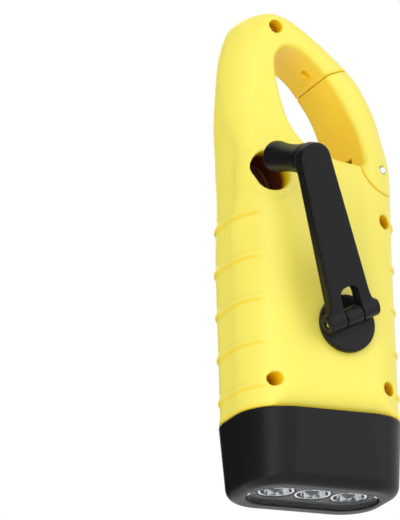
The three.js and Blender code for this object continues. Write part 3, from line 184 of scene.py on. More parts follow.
def outline_distance(at: Places, outline: Sequence[Flat]) -> Array:
    """Distance to a closed outline on the face, negative inside it.

    Args:
        at: Places to measure at.
        outline: Corners of the outline in order, across and up.

    Returns:
        The signed distance at each place.
    """
    x, z = np.broadcast_arrays(at.x, at.z)
    nearest = np.full(x.shape, 1e9)
    inside = np.zeros(x.shape, bool)
    corners = np.asarray(outline, float)
    for (ax, az), (bx, bz) in zip(corners, np.roll(corners, -1, axis=0)):
        ex, ez = bx - ax, bz - az
        length = ex * ex + ez * ez
        if length < 1e-12:
            continue
        px, pz = x - ax, z - az
        t = np.clip((px * ex + pz * ez) / length, 0, 1)
        nearest = np.minimum(nearest, (px - t * ex) ** 2 + (pz - t * ez) ** 2)
        crosses = (az > z) != (bz > z)
        if ez:
            inside ^= crosses & (px < pz * ex / ez)
    distance = np.sqrt(nearest)
    return np.where(inside, -distance, distance)


def stadium_distance(u: Array, v: Array, half: float, radius: float) -> Array:
    """Distance to a long hole with round ends that lies along u."""
    return np.hypot(np.maximum(np.abs(u) - (half - radius), 0), v) - radius


def rectangle_distance(u: Array, v: Array, half_u: Array, half_v: Array, corner: Array) -> Array:
    """Distance to a rectangle with round corners.

    Args:
        u: First coordinate from the middle.
        v: Second coordinate from the middle.
        half_u: Half size along u.
        half_v: Half size along v.
        corner: Radius of the corners.

    Returns:
        The signed distance.
    """
    du = np.abs(u) - half_u + corner
    dv = np.abs(v) - half_v + corner
    return np.hypot(np.maximum(du, 0), np.maximum(dv, 0)) + np.minimum(np.maximum(du, dv), 0) - corner


def closed_spline(points: Sequence[Flat], count: int) -> list[Flat]:
    """Smooth closed curve through points, with knots spaced by the root of their distance.

    Args:
        points: Points that the curve passes.
        count: How many points the answer has for each span.

    Returns:
        Points along the curve.
    """
    p = np.asarray(points, float)
    n = len(p)
    curve = []
    for k in range(n):
        a, b, c, d = (p[(k + j) % n] for j in (-1, 0, 1, 2))
        steps = [math.sqrt(np.linalg.norm(end - start)) for start, end in ((a, b), (b, c), (c, d))]
        t0, t1, t2, t3 = np.cumsum([0.0] + steps)
        for t in np.linspace(t1, t2, count, endpoint=False):
            ab = (t1 - t) / (t1 - t0) * a + (t - t0) / (t1 - t0) * b
            bc = (t2 - t) / (t2 - t1) * b + (t - t1) / (t2 - t1) * c
            cd = (t3 - t) / (t3 - t2) * c + (t - t2) / (t3 - t2) * d
            abc = (t2 - t) / (t2 - t0) * ab + (t - t0) / (t2 - t0) * bc
            bcd = (t3 - t) / (t3 - t1) * bc + (t - t1) / (t3 - t1) * cd
            curve.append(tuple((t2 - t) / (t2 - t1) * abc + (t - t1) / (t2 - t1) * bcd))
    return curve


class Grid:
    """Block of evenly spaced places that fields are measured at."""

    def __init__(self, low: Point, high: Point, step: float) -> None:
        """Lays the grid out between two corners."""
        self.step = step * 1.0
        spans = [np.arange(a, b + self.step, self.step) for a, b in zip(low, high)]
        self.origin = np.array([span[0] for span in spans])
        self.x = spans[0][:, None, None].astype(np.float32)
        self.y = spans[1][None, :, None].astype(np.float32)
        self.z = spans[2][None, None, :].astype(np.float32)
        self.shape = tuple(len(span) for span in spans)

    def full(self, values: Array) -> Array:
        """Field spread over the whole grid, with its outermost layer kept outside."""
        whole = np.array(np.broadcast_to(values, self.shape), np.float32)
        for axis in range(3):
            for end in (0, -1):
                layer = [slice(None)] * 3
                layer[axis] = end
                whole[tuple(layer)] = np.maximum(whole[tuple(layer)], self.step * 0.5)
        return whole


@dataclass(frozen=True)
class Spots:
    """Places given one by one, for fields that are measured at a skin's points."""

    x: Array
    y: Array
    z: Array


Places = Grid | Spots


@dataclass
class Skin:
    """Mesh of a form: points in millimetres, faces and, if it is smooth, normals."""

    points: Array
    faces: Array | list[tuple[int, ...]]
    normals: Array | None = None
    marks: dict[str, Array] = field(default_factory=dict)

    def spots(self) -> Spots:
        """The skin's points, to measure fields at."""
        return Spots(*self.points.T)

    def moved(self, place: Matrix) -> "Skin":
        """The same skin carried from a local frame into the drawing frame."""
        turn = np.array(place.to_3x3())
        shift = np.array(place.translation)
        normals = None if self.normals is None else self.normals @ turn.T
        return Skin(self.points @ turn.T + shift, self.faces, normals, self.marks)

    def shifted(self, x: float, y: float, z: float) -> "Skin":
        """The same skin moved without a turn."""
        return self.moved(Matrix.Translation((x, y, z)))


def sample(values: Array, at: Array) -> Array:
    """Value between the grid's places.

    Args:
        values: Field on the grid.
        at: Places counted in grid steps.

    Returns:
        One value for each place.
    """
    limit = np.array(values.shape) - 2
    low = np.clip(np.floor(at).astype(int), 0, limit)
    t = np.clip(at - low, 0, 1)
    total = np.zeros(len(at))
    for corner in range(8):
        bits = np.array([(corner >> k) & 1 for k in range(3)])
        weight = np.prod(np.where(bits, t, 1 - t), axis=1)
        i, j, k = (low + bits).T
        total += weight * values[i, j, k]
    return total


def net(grid: Grid, values: Array, look: Array | None = None) -> Skin:
    """Surface of a field: one point in each cell that it passes, joined by quads.

    Args:
        grid: Grid that the field is on.
        values: Field, negative inside.
        look: Field whose slope gives the normals, where that isn't the form's own.

    Returns:
        The skin, with normals from the field's slope.
    """
    f = grid.full(values)
    inside = f < 0
    n = np.array(f.shape)
    count = np.zeros(tuple(n - 1), np.uint8)
    for corner in range(8):
        i, j, k = ((corner >> b) & 1 for b in range(3))
        count += inside[i : n[0] - 1 + i, j : n[1] - 1 + j, k : n[2] - 1 + k]
    cells = np.argwhere((count > 0) & (count < 8))
    total = np.zeros((len(cells), 3))
    hits = np.zeros(len(cells))
    for axis in range(3):
        others = [a for a in range(3) if a != axis]
        for side in range(4):
            offset = np.zeros(3, int)
            offset[others[0]], offset[others[1]] = side & 1, side >> 1
            a = cells + offset
            b = a.copy()
            b[:, axis] += 1
            fa, fb = f[tuple(a.T)], f[tuple(b.T)]
            cross = (fa < 0) != (fb < 0)
            t = np.where(cross, fa / np.where(cross, fa - fb, 1), 0)
            place = offset + np.zeros((len(cells), 3))
            place[:, axis] = t
            total += place * cross[:, None]
            hits += cross
    at = cells + total / hits[:, None]
    slopes = np.gradient(f)
    for _ in range(2):
        slope = np.stack([sample(s, at) for s in slopes], axis=1)
        square = np.maximum((slope**2).sum(1), 0.05)
        move = slope * (sample(f, at) / square)[:, None]
        at = np.clip(at - np.clip(move, -0.35, 0.35), cells - 0.1, cells + 1.1)
    if look is not None:
        slopes = np.gradient(grid.full(look))
    slope = np.stack([sample(s, at) for s in slopes], axis=1)
    normals = slope / np.maximum(np.linalg.norm(slope, axis=1), 1e-6)[:, None]
    index = np.full(tuple(n - 1), -1, np.int32)
    index[tuple(cells.T)] = np.arange(len(cells))
    quads = []
    for axis in range(3):
        u, v = (axis + 1) % 3, (axis + 2) % 3
        low = [slice(None)] * 3
        high = [slice(None)] * 3
        low[axis], high[axis] = slice(0, n[axis] - 1), slice(1, n[axis])
        change = inside[tuple(low)] != inside[tuple(high)]
        edges = np.argwhere(change)
        keep = (edges[:, u] > 0) & (edges[:, v] > 0) & (edges[:, u] < n[u] - 1) & (edges[:, v] < n[v] - 1)
        edges = edges[keep]
        ring = []
        for du, dv in ((-1, -1), (0, -1), (0, 0), (-1, 0)):
            cell = edges.copy()
            cell[:, u] += du
            cell[:, v] += dv
            ring.append(index[tuple(cell.T)])
        quad = np.stack(ring, axis=1)
        outward = inside[tuple(edges.T)]
        quads.append(np.where(outward[:, None], quad, quad[:, ::-1]))
    faces = np.concatenate(quads)
    faces = faces[(faces >= 0).all(1)]
    return Skin(grid.origin + at * grid.step, faces, normals)


def stacked(rings: Sequence[Array], capped: bool = True, flip: bool = False) -> Skin:
    """Skin through rings of equal length.

    Args:
        rings: Rings of points, each counter-clockwise when seen from the last one's side.
        capped: Whether the two ends are closed.
        flip: Whether the rings run clockwise instead.

    Returns:
        The skin.
    """
    count, last = len(rings[0]), len(rings) - 1
    faces: list[tuple[int, ...]] = []
    for low in range(0, last * count, count):
        for k in range(count):
            n = (k + 1) % count
            faces.append((low + k, low + n, low + count + n, low + count + k))
    if capped:
        faces += [tuple(range(count))[::-1], tuple(range(last * count, (last + 1) * count))]
    return Skin(np.concatenate(rings), [face[::-1] for face in faces] if flip else faces)


def lathe(profile: Sequence[Flat], sides: int = 48, axis: int = 2) -> Skin:
    """Turned form about an axis through the origin.

    Args:
        profile: Radius and place along the axis, from one end to the other.
        sides: How many sides the round has.
        axis: 1 for the depth axis, 2 for the upright one.

    Returns:
        The closed skin.
    """
    angles = np.linspace(0, 2 * math.pi, sides, endpoint=False)
    rings = []
    for radius, along in profile:
        ring = np.full((sides, 3), float(along))
        ring[:, 0] = radius * np.cos(angles)
        ring[:, 3 - axis] = radius * np.sin(angles)
        rings.append(ring)
    return stacked(rings, profile[0] != profile[-1], axis == 1)


def softened(profile: Sequence[Point], steps: int = 4) -> list[Flat]:
    """Profile whose corners are rounded.

    Args:
        profile: Radius, place along the axis and how much each corner is rounded.
        steps: Points on each rounded corner.

    Returns:
        The finer profile.
    """
    result: list[Flat] = []
    for k, (radius, along, rounding) in enumerate(profile):
        if rounding <= 0 or k in (0, len(profile) - 1):
            result.append((radius, along))
            continue
        here = np.array([radius, along])
        back, ahead = (np.array(profile[n][:2]) - here for n in (k - 1, k + 1))
        reach = min(rounding, 0.49 * np.linalg.norm(back), 0.49 * np.linalg.norm(ahead))
        a, b = (here + way / np.linalg.norm(way) * reach for way in (back, ahead))
        result += pulled(a, here, b, steps)
    return result


# Frame and pieces


def placed(name: str, data: bpy.types.ID) -> bpy.types.Object:
    """New object in the scene that shows a mesh, lamp or camera."""
    made = bpy.data.objects.new(name, data)
    bpy.context.scene.collection.objects.link(made)
    return made


class Workshop:
    """Turns skins in the drawing frame into pieces of the row frame."""

    def __init__(self, frame: dict, palette: Palette) -> None:
        """Finds where the drawing frame lies from two nodes that stand on its middle planes."""
        self.frame = frame
        self.palette = palette
        across = [corner.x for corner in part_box("solar_cell")]
        deep = [corner.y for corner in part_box("head_bezel")]
        self.shift = np.array([sum(across) / 2, sum(deep) / 2, 0.0]) * 1000
        self.count = 0

    def place(self, point: Sequence[float]) -> Vector:
        """Row frame place of a drawing point, in metres."""
        return Vector((np.asarray(point, float) + self.shift) / 1000)

    def drawing(self, place: Sequence[float]) -> Vector:
        """Drawing point of a row frame place in metres."""
        return Vector(np.asarray(place, float) * 1000 - self.shift)

    def joint(self, name: str) -> tuple[Vector, Vector]:
        """Pivot of a joint in the drawing frame, and its axis."""
        found = next(j for j in self.frame["joints"] if j["name"] == name)
        return self.drawing(found["pos_m"]), Vector(found["axis"]).normalized()

    def piece(
        self,
        name: str,
        skin: Skin,
        finish: str,
        body: Body,
        slot: Slot,
        instead_of: Sequence[str] = (),
        crease: float = 40.0,
    ) -> None:
        """Makes a piece from a skin and hangs it on its body.

        Args:
            name: Name of the piece.
            skin: Its mesh in the drawing frame.
            finish: Its finish, by the name that the palette has for it.
            body: Body that it rides on.
            slot: Slot of the record that it belongs to; not used.
            instead_of: CAD nodes that it stands for.
            crease: Angle in degrees over which an edge stays sharp, where the skin has no normals.
        """
        mesh = bpy.data.meshes.new(name)
        points = (np.asarray(skin.points, float) + self.shift) / 1000
        faces = skin.faces.tolist() if isinstance(skin.faces, np.ndarray) else skin.faces
        mesh.from_pydata(points.tolist(), [], faces)
        mesh.validate()
        mesh.shade_smooth()
        for mark, values in skin.marks.items():
            layer = mesh.attributes.new(mark, "FLOAT", "POINT")
            layer.data.foreach_set("value", np.asarray(values, np.float32))
        if skin.normals is not None:
            mesh.normals_split_custom_set_from_vertices(skin.normals.astype(np.float32).tolist())
        else:
            mesh.set_sharp_from_angle(angle=math.radians(crease))
        mesh.materials.append(self.palette.get(finish))
        made = placed(name, mesh)
        if instead_of:
            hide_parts(*instead_of)
        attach(made, body.value)
        self.count += 1
        LOG.info("%s: %d points, rides on %s", name, len(points), body.value)

    def dress(self, nodes: Sequence[str], finish: str) -> None:
        """Gives CAD nodes that stay in the scene their finish."""
        for name in nodes:
            materials = self.frame["nodes"][name].data.materials
            materials.clear()
            materials.append(self.palette.get(finish))
            LOG.info("%s: kept from the packed model", name)


# Effects that several finishes share


def linear(swatch: Swatch) -> tuple[float, float, float, float]:
    """Colour of a swatch of 0 to 255 as the renderer counts it."""
    parts = [c / 255 for c in swatch]
    return (*[p / 12.92 if p <= 0.04045 else ((p + 0.055) / 1.055) ** 2.4 for p in parts], 1.0)


class Wiring:
    """Short hand for placing nodes in a tree and joining them."""

    def __init__(self, tree: bpy.types.NodeTree) -> None:
        """Takes the tree that nodes go into."""
        self.tree = tree

    def add(self, kind: str, settings: dict | None = None, **inputs) -> bpy.types.Node:
        """Places a node.

        Args:
            kind: Node type, without the words ShaderNode that most start with.
            settings: Properties of the node.
            **inputs: Values or sockets for its inputs, with _ for a blank; in0 means input 0.

        Returns:
            The node.
        """
        node = self.tree.nodes.new(kind if kind.startswith("NodeGroup") else f"ShaderNode{kind}")
        for key, value in (settings or {}).items():
            setattr(node, key, value)
        for key, value in inputs.items():
            numbered = key[:2] == "in" and key[2:].isdigit()
            self.feed(node.inputs[int(key[2:]) if numbered else key.replace("_", " ")], value)
        return node

    def feed(self, socket: bpy.types.NodeSocket, value) -> None:
        """Joins a socket to another one, or sets its value."""
        if isinstance(value, bpy.types.NodeSocket):
            self.tree.links.new(value, socket)
        else:
            socket.default_value = value

    def math(self, operation: str, a, b=0.0, clamp: bool = False) -> bpy.types.NodeSocket:
        """Result of a sum on one or two numbers."""
        return self.add("Math", {"operation": operation, "use_clamp": clamp}, in0=a, in1=b).outputs[0]

    def times(self, a, b, clamp: bool = False) -> bpy.types.NodeSocket:
        """Product of two numbers."""
        return self.math("MULTIPLY", a, b, clamp)

    def plus(self, a, b, clamp: bool = False) -> bpy.types.NodeSocket:
        """Two numbers added up."""
        return self.math("ADD", a, b, clamp)

    def minus(self, a, b, clamp: bool = False) -> bpy.types.NodeSocket:
        """Second number taken from the first."""
        return self.math("SUBTRACT", a, b, clamp)

    def ramp(self, value, low: float, high: float) -> bpy.types.NodeSocket:
        """Value carried from its range to 0 to 1 with soft ends."""
        settings = {"interpolation_type": "SMOOTHSTEP"}
        return self.add("MapRange", settings, in0=value, in1=low, in2=high, in3=0.0, in4=1.0).outputs[0]

    def mix(self, share, a, b) -> bpy.types.NodeSocket:
        """Two colours mixed."""
        return self.add("Mix", {"data_type": "RGBA"}, in0=share, in6=a, in7=b).outputs[2]

    def place(self) -> bpy.types.NodeSocket:
        """Place on the object."""
        return self.add("TexCoord").outputs["Object"]

    def noise(self, where, scale, detail: float = 3.0, rough: float = 0.55) -> bpy.types.NodeSocket:
        """Cloudy value between 0 and 1."""
        return self.add("TexNoise", Vector=where, Scale=scale, Detail=detail, Roughness=rough).outputs[0]

    def finish(self, share, first: bpy.types.Node, second: bpy.types.Node, output: str) -> None:
        """Mixes two shaders and joins them to a new output of the tree."""
        mixed = self.add("MixShader", in0=share, in1=first.outputs[0], in2=second.outputs[0])
        self.add(output, Surface=mixed.outputs[0])


class Effect(str, Enum):
    """Node groups that finishes can place."""

    GRAIN = "mould_grain"
    WEAR = "edge_wear"
    DUST = "settled_dust"
    DRIFT = "tone_drift"
    # This group paints shade into holes and recesses, from the mesh's recess mark
    DEPTH = "recess_tint"
    SMEAR = "handling_smear"


COLOUR_SOCKETS = ("Color", "Deep", "Pit")
# Inputs and outputs of each group
SOCKETS: dict[Effect, tuple[tuple[str, ...], tuple[str, ...]]] = {
    Effect.GRAIN: (("Scale", "Depth"), ("Height",)),
    Effect.WEAR: (("Amount", "Scale"), ("Mask",)),
    Effect.DUST: (("Amount", "Scale"), ("Mask",)),
    Effect.DRIFT: (("Color", "Amount", "Scale"), ("Color",)),
    Effect.DEPTH: (("Color", "Deep", "Pit"), ("Color",)),
    Effect.SMEAR: (("Roughness", "Amount", "Scale"), ("Roughness",)),
}


class Effects:
    """Makes each shared effect once and places it where a finish asks."""

    def __init__(self) -> None:
        """Starts with no group made."""
        self.trees: dict[Effect, bpy.types.NodeTree] = {}

    def tree(self, effect: Effect) -> bpy.types.NodeTree:
        """Node group of an effect, made the first time it is asked for."""
        if effect in self.trees:
            return self.trees[effect]
        tree = bpy.data.node_groups.new(effect.value, "ShaderNodeTree")
        for way, names in zip(("INPUT", "OUTPUT"), SOCKETS[effect]):
            for name in names:
                kind = "NodeSocketColor" if name in COLOUR_SOCKETS else "NodeSocketFloat"
                tree.interface.new_socket(name=name, in_out=way, socket_type=kind)
        wires = Wiring(tree)
        given, result = wires.add("NodeGroupInput"), wires.add("NodeGroupOutput")
        makers: dict[Effect, Callable] = {
            Effect.GRAIN: self.grain,
            Effect.WEAR: self.wear,
            Effect.DUST: self.dust,
            Effect.DRIFT: self.drift,
            Effect.DEPTH: self.depth,
            Effect.SMEAR: self.smear,
        }
        made = makers[effect](wires, given.outputs)
        wires.feed(result.inputs[0], made)
        self.trees[effect] = tree
        LOG.info("effect %s is ready", effect.value)
        return tree

    def grain(self, wires: Wiring, given) -> bpy.types.NodeSocket:
        """Height of a spark-eroded mould's fine leathery grain, with a slow wave under it."""
        where, scale = wires.place(), given["Scale"]
        fine = wires.noise(where, scale, 4.0, 0.6)
        cells = wires.add("TexVoronoi", {"feature": "SMOOTH_F1"}, Vector=where, Scale=scale, Smoothness=0.6)
        slow = wires.noise(where, wires.times(scale, 0.02), 2.0)
        grain = wires.plus(wires.times(fine, 0.6), wires.times(cells.outputs[0], 0.4))
        return wires.plus(wires.times(grain, given["Depth"]), wires.times(slow, 0.15))

    def wear(self, wires: Wiring, given) -> bpy.types.NodeSocket:
        """Where edges have been rubbed: outward bends, broken up by noise."""
        bend = wires.add("NewGeometry").outputs["Pointiness"]
        sharp = wires.ramp(bend, 0.53, 0.62)
        broken = wires.ramp(wires.noise(wires.place(), given["Scale"], 5.0, 0.7), 0.42, 0.68)
        return wires.times(wires.times(sharp, broken), given["Amount"], True)

    def dust(self, wires: Wiring, given) -> bpy.types.NodeSocket:
        """Dust that lies on what faces up, in soft patches with specks."""
        normal = wires.add("NewGeometry").outputs["Normal"]
        up = wires.ramp(wires.add("SeparateXYZ", in0=normal).outputs[2], 0.15, 0.95)
        where = wires.place()
        patches = wires.ramp(wires.noise(where, given["Scale"], 5.0, 0.65), 0.4, 0.75)
        specks = wires.ramp(wires.noise(where, wires.times(given["Scale"], 22.0), 2.0), 0.66, 0.74)
        return wires.times(wires.times(wires.plus(patches, specks), up), given["Amount"], True)

    def drift(self, wires: Wiring, given) -> bpy.types.NodeSocket:
        """Colour that wanders a little over the moulding."""
        slow = wires.noise(wires.place(), given["Scale"], 3.0, 0.5)
        share = wires.times(wires.minus(slow, 0.5), given["Amount"])
        hue, value = wires.plus(0.5, wires.times(share, 0.05)), wires.plus(1.0, share)
        turned = wires.add("HueSaturation", Hue=hue, Saturation=1.0, Value=value, Fac=1.0)
        wires.feed(turned.inputs["Color"], given["Color"])
        return turned.outputs[0]

    def depth(self, wires: Wiring, given) -> bpy.types.NodeSocket:
        """Painted shade down in holes and recesses, from the mark that the mesh carries; past a mark of 1 it
        darkens further.
        """
        mark = wires.add("Attribute", {"attribute_name": "recess"}).outputs["Fac"]
        shallow = wires.mix(wires.math("MINIMUM", mark, 1.0), given["Color"], given["Deep"])
        return wires.mix(wires.minus(mark, 1.0, True), shallow, given["Pit"])

    def smear(self, wires: Wiring, given) -> bpy.types.NodeSocket:
        """Gloss that changes where the piece has been handled."""
        patches = wires.noise(wires.place(), given["Scale"], 4.0, 0.6)
        change = wires.times(wires.minus(patches, 0.5), given["Amount"])
        return wires.plus(given["Roughness"], change, True)


EFFECTS = Effects()


def fresh(name: str) -> tuple[bpy.types.Material, Wiring]:
    """New material without nodes, and the wiring of its tree."""
    material = bpy.data.materials.new(name)
    material.use_nodes = True
    material.node_tree.nodes.clear()
    return material, Wiring(material.node_tree)


class Coating:
    """A material under way: its shader, its wires and the effects placed in it."""

    def __init__(self, name: str) -> None:
        """Makes an empty material with one principled shader."""
        self.material, self.wires = fresh(name)
        self.shader = self.wires.add("BsdfPrincipled")
        self.wires.add("OutputMaterial", Surface=self.shader.outputs[0])

    def effect(self, effect: Effect, **inputs) -> bpy.types.NodeSocket:
        """Places a shared effect and gives its output."""
        return self.wires.add("Group", {"node_tree": EFFECTS.tree(effect)}, **inputs).outputs[0]

    def set(self, **inputs) -> None:
        """Feeds the shader's own inputs, with _ for a blank."""
        for key, value in inputs.items():
            self.wires.feed(self.shader.inputs[key.replace("_", " ")], value)

    def tone(self, colour, amount: float, scale: float) -> bpy.types.NodeSocket:
        """Colour that drifts by an amount."""
        return self.effect(Effect.DRIFT, Color=colour, Amount=amount, Scale=scale)

    def gloss(self, roughness: float, amount: float, scale: float) -> bpy.types.NodeSocket:
        """Roughness that changes by an amount where the piece has been handled."""
        return self.effect(Effect.SMEAR, Roughness=roughness, Amount=amount, Scale=scale)

    def bump(self, height, distance: float, strength: float = 1.0) -> None:
        """Joins a height to the shader's normal.

        Args:
            height: Socket with the height.
            distance: How far a height of 1 stands out, in metres.
            strength: How strongly it shows.
        """
        node = self.wires.add("Bump", Strength=strength, Distance=distance, Height=height)
        self.set(Normal=node.outputs[0])


@dataclass(frozen=True)
class Finish:
    """What a piece is made of."""

    name: str

    def material(self) -> bpy.types.Material:
        """Builds the material."""
        coat = Coating(self.name)
        self.apply(coat, coat.wires)
        return coat.material

    def apply(self, coat: Coating, wires: Wiring) -> None:
        """Feeds the coating's shader; each kind of finish has its own way."""
        raise NotImplementedError


@dataclass(frozen=True)
class Plastic(Finish):
    """Moulded plastic with grain, drift of tone, painted shade in recesses, rubbed edges and a little dust."""

    colour: Swatch
    # Colour of the painted shade in recesses
    deep: Swatch
    rubbed: Swatch
    roughness: float = 0.35
    grain_scale: float = 1800.0
    grain_depth: float = 0.5
    drift: float = 0.05
    wear: float = 0.3
    dust: float = 0.15
    specular: float = 0.5
    # Darker painted shade, where the recess mark goes past 1
    pit: Swatch = (92, 34, 6)
    dust_colour: Swatch = (206, 202, 190)

    def apply(self, coat: Coating, wires: Wiring) -> None:
        """Paints shade into recesses, rubs edges pale and lays dust, over a fine grain."""
        tone = coat.tone(linear(self.colour), self.drift, 45.0)
        # Painted shade in holes and recesses, from the mesh's recess mark
        tone = coat.effect(Effect.DEPTH, Color=tone, Deep=linear(self.deep), Pit=linear(self.pit))
        tone = wires.mix(coat.effect(Effect.WEAR, Amount=self.wear, Scale=700.0), tone, linear(self.rubbed))
        dust = coat.effect(Effect.DUST, Amount=self.dust, Scale=120.0)
        coat.set(Base_Color=wires.mix(dust, tone, linear(self.dust_colour)))
        coat.set(Roughness=wires.plus(coat.gloss(self.roughness, 0.16, 90.0), wires.times(dust, 0.4), True))
        coat.bump(coat.effect(Effect.GRAIN, Scale=self.grain_scale, Depth=self.grain_depth), 0.00006, 0.5)
        coat.set(IOR=1.5, Specular_IOR_Level=self.specular)


@dataclass(frozen=True)
class Metal(Finish):
    """Bare or plated metal with fine lines, smears and darker patches."""

    colour: Swatch
    roughness: float = 0.25
    line_scale: float = 900.0
    line_depth: float = 0.4
    drift: float = 0.08
    stain: Swatch = (120, 116, 110)
    stained: float = 0.15

    def apply(self, coat: Coating, wires: Wiring) -> None:
        """Stains the metal in spots and draws fine lines along it."""
        where = wires.place()
        stretched = wires.add("Mapping", Vector=where, Scale=(1.0, 1.0, 0.06)).outputs[0]
        spots = wires.ramp(wires.noise(where, 260.0, 5.0, 0.65), 0.55, 0.8)
        tone = coat.tone(linear(self.colour), self.drift, 160.0)
        tone = wires.mix(wires.times(spots, self.stained), tone, linear(self.stain))
        rough = wires.plus(coat.gloss(self.roughness, 0.14, 220.0), wires.times(spots, 0.08), True)
        coat.set(Base_Color=tone, Metallic=1.0, Roughness=rough)
        coat.bump(wires.noise(stretched, self.line_scale, 4.0, 0.7), 0.00002, self.line_depth)


@dataclass(frozen=True)
class Clear(Finish):
    """Clear plastic or epoxy with faint flow lines."""

    colour: Swatch = (250, 252, 252)
    roughness: float = 0.03
    bend: float = 1.49

    def apply(self, coat: Coating, wires: Wiring) -> None:
        """Lets light through with a slight wave."""
        coat.set(Base_Color=coat.tone(linear(self.colour), 0.02, 60.0))
        coat.set(Transmission_Weight=1.0, IOR=self.bend)
        coat.set(Roughness=coat.gloss(self.roughness, 0.03, 150.0))
        coat.bump(wires.noise(wires.place(), 80.0, 2.0), 0.00004, 0.15)


@dataclass(frozen=True)
class SolarFilm(Finish):
    """Thin-film solar cell: copper-brown strips with fine dark lines under a glossy cover."""

    name: str = "solar_film"
    colour: Swatch = (168, 118, 94)
    pale: Swatch = (204, 156, 126)
    line: Swatch = (72, 44, 36)
    pitch: float = 4.4
    line_width: float = 0.32
    finger_pitch: float = 1.25

    def apply(self, coat: Coating, wires: Wiring) -> None:
        """Draws strips across and fingers up, paler towards the top."""
        where = wires.place()
        parts = wires.add("SeparateXYZ", in0=where).outputs
        bottom, top = (height / 1000 for height in CELL)
        rows = wires.times(wires.minus(parts[2], bottom), 1000 / self.pitch)
        across = wires.math("ABSOLUTE", wires.minus(wires.math("FRACT", rows), 0.5))
        width = self.line_width / self.pitch
        strip = wires.ramp(across, 0.5 - width, 0.5 - 0.3 * width)
        cloud = wires.noise(where, 130.0, 4.0, 0.6)
        rise = wires.times(wires.ramp(parts[2], bottom, top), 0.75)
        share = wires.plus(rise, wires.times(cloud, 0.3), True)
        tone = wires.mix(share, linear(self.colour), linear(self.pale))
        fingers = wires.math("FRACT", wires.times(parts[0], 1000 / self.finger_pitch))
        tone = wires.mix(wires.times(wires.ramp(fingers, 0.9, 0.97), 0.16), tone, linear(self.line))
        tone = wires.mix(wires.times(strip, 0.9), tone, linear(self.line))
        coat.set(Base_Color=tone, Roughness=wires.plus(0.28, wires.times(cloud, 0.12)))
        coat.set(Metallic=0.25, Coat_Weight=0.8, Coat_Roughness=0.06)
        coat.bump(wires.minus(1.0, strip), 0.00004, 0.4)


@dataclass(frozen=True)
class Board(Finish):
    """Circuit board: solder mask with tracks and tinned pads."""

    name: str = "circuit_board"
    mask: Swatch = (24, 96, 52)
    track: Swatch = (40, 128, 70)
    pad: Swatch = (196, 190, 170)

    def apply(self, coat: Coating, wires: Wiring) -> None:
        """Draws tracks along the cells of a square pattern and pads in their middles."""
        squares = {"distance": "MANHATTAN"}
        bricks = wires.add("TexVoronoi", squares, Vector=wires.place(), Scale=190.0).outputs[0]
        tracks = wires.ramp(wires.math("ABSOLUTE", wires.minus(bricks, 0.45)), 0.05, 0.09)
        pads = wires.ramp(bricks, 0.16, 0.12)
        tone = wires.mix(pads, wires.mix(tracks, linear(self.track), linear(self.mask)), linear(self.pad))
        coat.set(Base_Color=coat.tone(tone, 0.1, 80.0), Metallic=wires.times(pads, 0.8))
        coat.set(Roughness=coat.gloss(0.36, 0.12, 200.0))
        coat.bump(wires.minus(1.0, tracks), 0.00003, 0.5)


@dataclass(frozen=True)
class Winding(Finish):
    """Enamelled copper wire, laid in close turns."""

    name: str = "wound_copper"
    colour: Swatch = (176, 96, 48)
    # Colour of the painted shade in the grooves between turns
    between: Swatch = (66, 30, 14)
    pitch: float = 0.25

    def apply(self, coat: Coating, wires: Wiring) -> None:
        """Draws the turns of the wire, with painted shade in the grooves between them."""
        parts = wires.add("SeparateXYZ", in0=wires.place()).outputs
        turns = wires.math("FRACT", wires.times(parts[1], 1000 / self.pitch))
        round_wire = wires.math("ABSOLUTE", wires.minus(turns, 0.5))
        tone = coat.tone(linear(self.colour), 0.14, 300.0)
        # Painted shade in the grooves between the turns
        tone = wires.mix(wires.ramp(round_wire, 0.36, 0.5), tone, linear(self.between))
        coat.set(Base_Color=tone, Metallic=0.9, Roughness=coat.gloss(0.32, 0.1, 300.0))
        coat.bump(wires.minus(0.5, round_wire), 0.0001, 0.8)


@dataclass
class Palette:
    """All finishes of the flashlight, each built once."""

    yellow: Plastic = Plastic(
        "yellow_plastic",
        colour=(249, 235, 96),
        # Colour of the painted shade in holes, in the loop and under the ribs
        deep=(255, 217, 0),
        rubbed=(252, 246, 180),
        roughness=0.42,
        dust=0.04,
        wear=0.15,
        specular=0.55,
    )
    black: Plastic = Plastic(
        "black_plastic",
        colour=(25, 25, 26),
        # Colour of the painted shade down in the window's recess
        deep=(8, 8, 9),
        rubbed=(66, 66, 70),
        roughness=0.36,
        grain_scale=2200.0,
        grain_depth=0.9,
        drift=0.12,
        dust=0.03,
        specular=0.17,
    )
    frame_black: Plastic = Plastic(
        "panel_frame_plastic",
        colour=(22, 22, 23),
        deep=(8, 8, 9),
        rubbed=(60, 60, 64),
        roughness=0.3,
        grain_scale=2400.0,
        grain_depth=0.4,
        drift=0.1,
        dust=0.03,
        specular=0.25,
    )
    screw: Metal = Metal("yellow_passivated_screw", (222, 160, 44), 0.4, stain=(176, 116, 30), stained=0.2)
    nylon: Plastic = Plastic("white_nylon", (228, 225, 212), (190, 184, 166), (240, 238, 230), 0.48)
    magnet: Plastic = Plastic(
        "sintered_magnet", (58, 58, 62), (40, 40, 42), (120, 120, 124), 0.5, grain_scale=1500.0, grain_depth=1.0
    )
    steel: Metal = Metal("plain_steel", (196, 198, 200))
    chrome: Metal = Metal("chromed_cups", (236, 238, 240), 0.07, 300.0, 0.05, 0.03, (200, 202, 206), 0.1)
    window: Clear = Clear("clear_window", roughness=0.0, bend=1.04)
    lamp: Clear = Clear("lamp_epoxy", (246, 248, 250), 0.02, 1.53)
    phosphor: Plastic = Plastic("lamp_phosphor", (240, 214, 96), (220, 190, 70), (250, 236, 160), 0.5)
    film: SolarFilm = SolarFilm()
    board: Board = Board()
    copper: Winding = Winding()
    made: dict[str, bpy.types.Material] = field(default_factory=dict)

    def get(self, finish: str) -> bpy.types.Material:
        """Material of a finish by its field's name."""
        if finish not in self.made:
            self.made[finish] = getattr(self, finish).material()
            LOG.info("finish %s is ready", finish)
        return self.made[finish]


# Housing


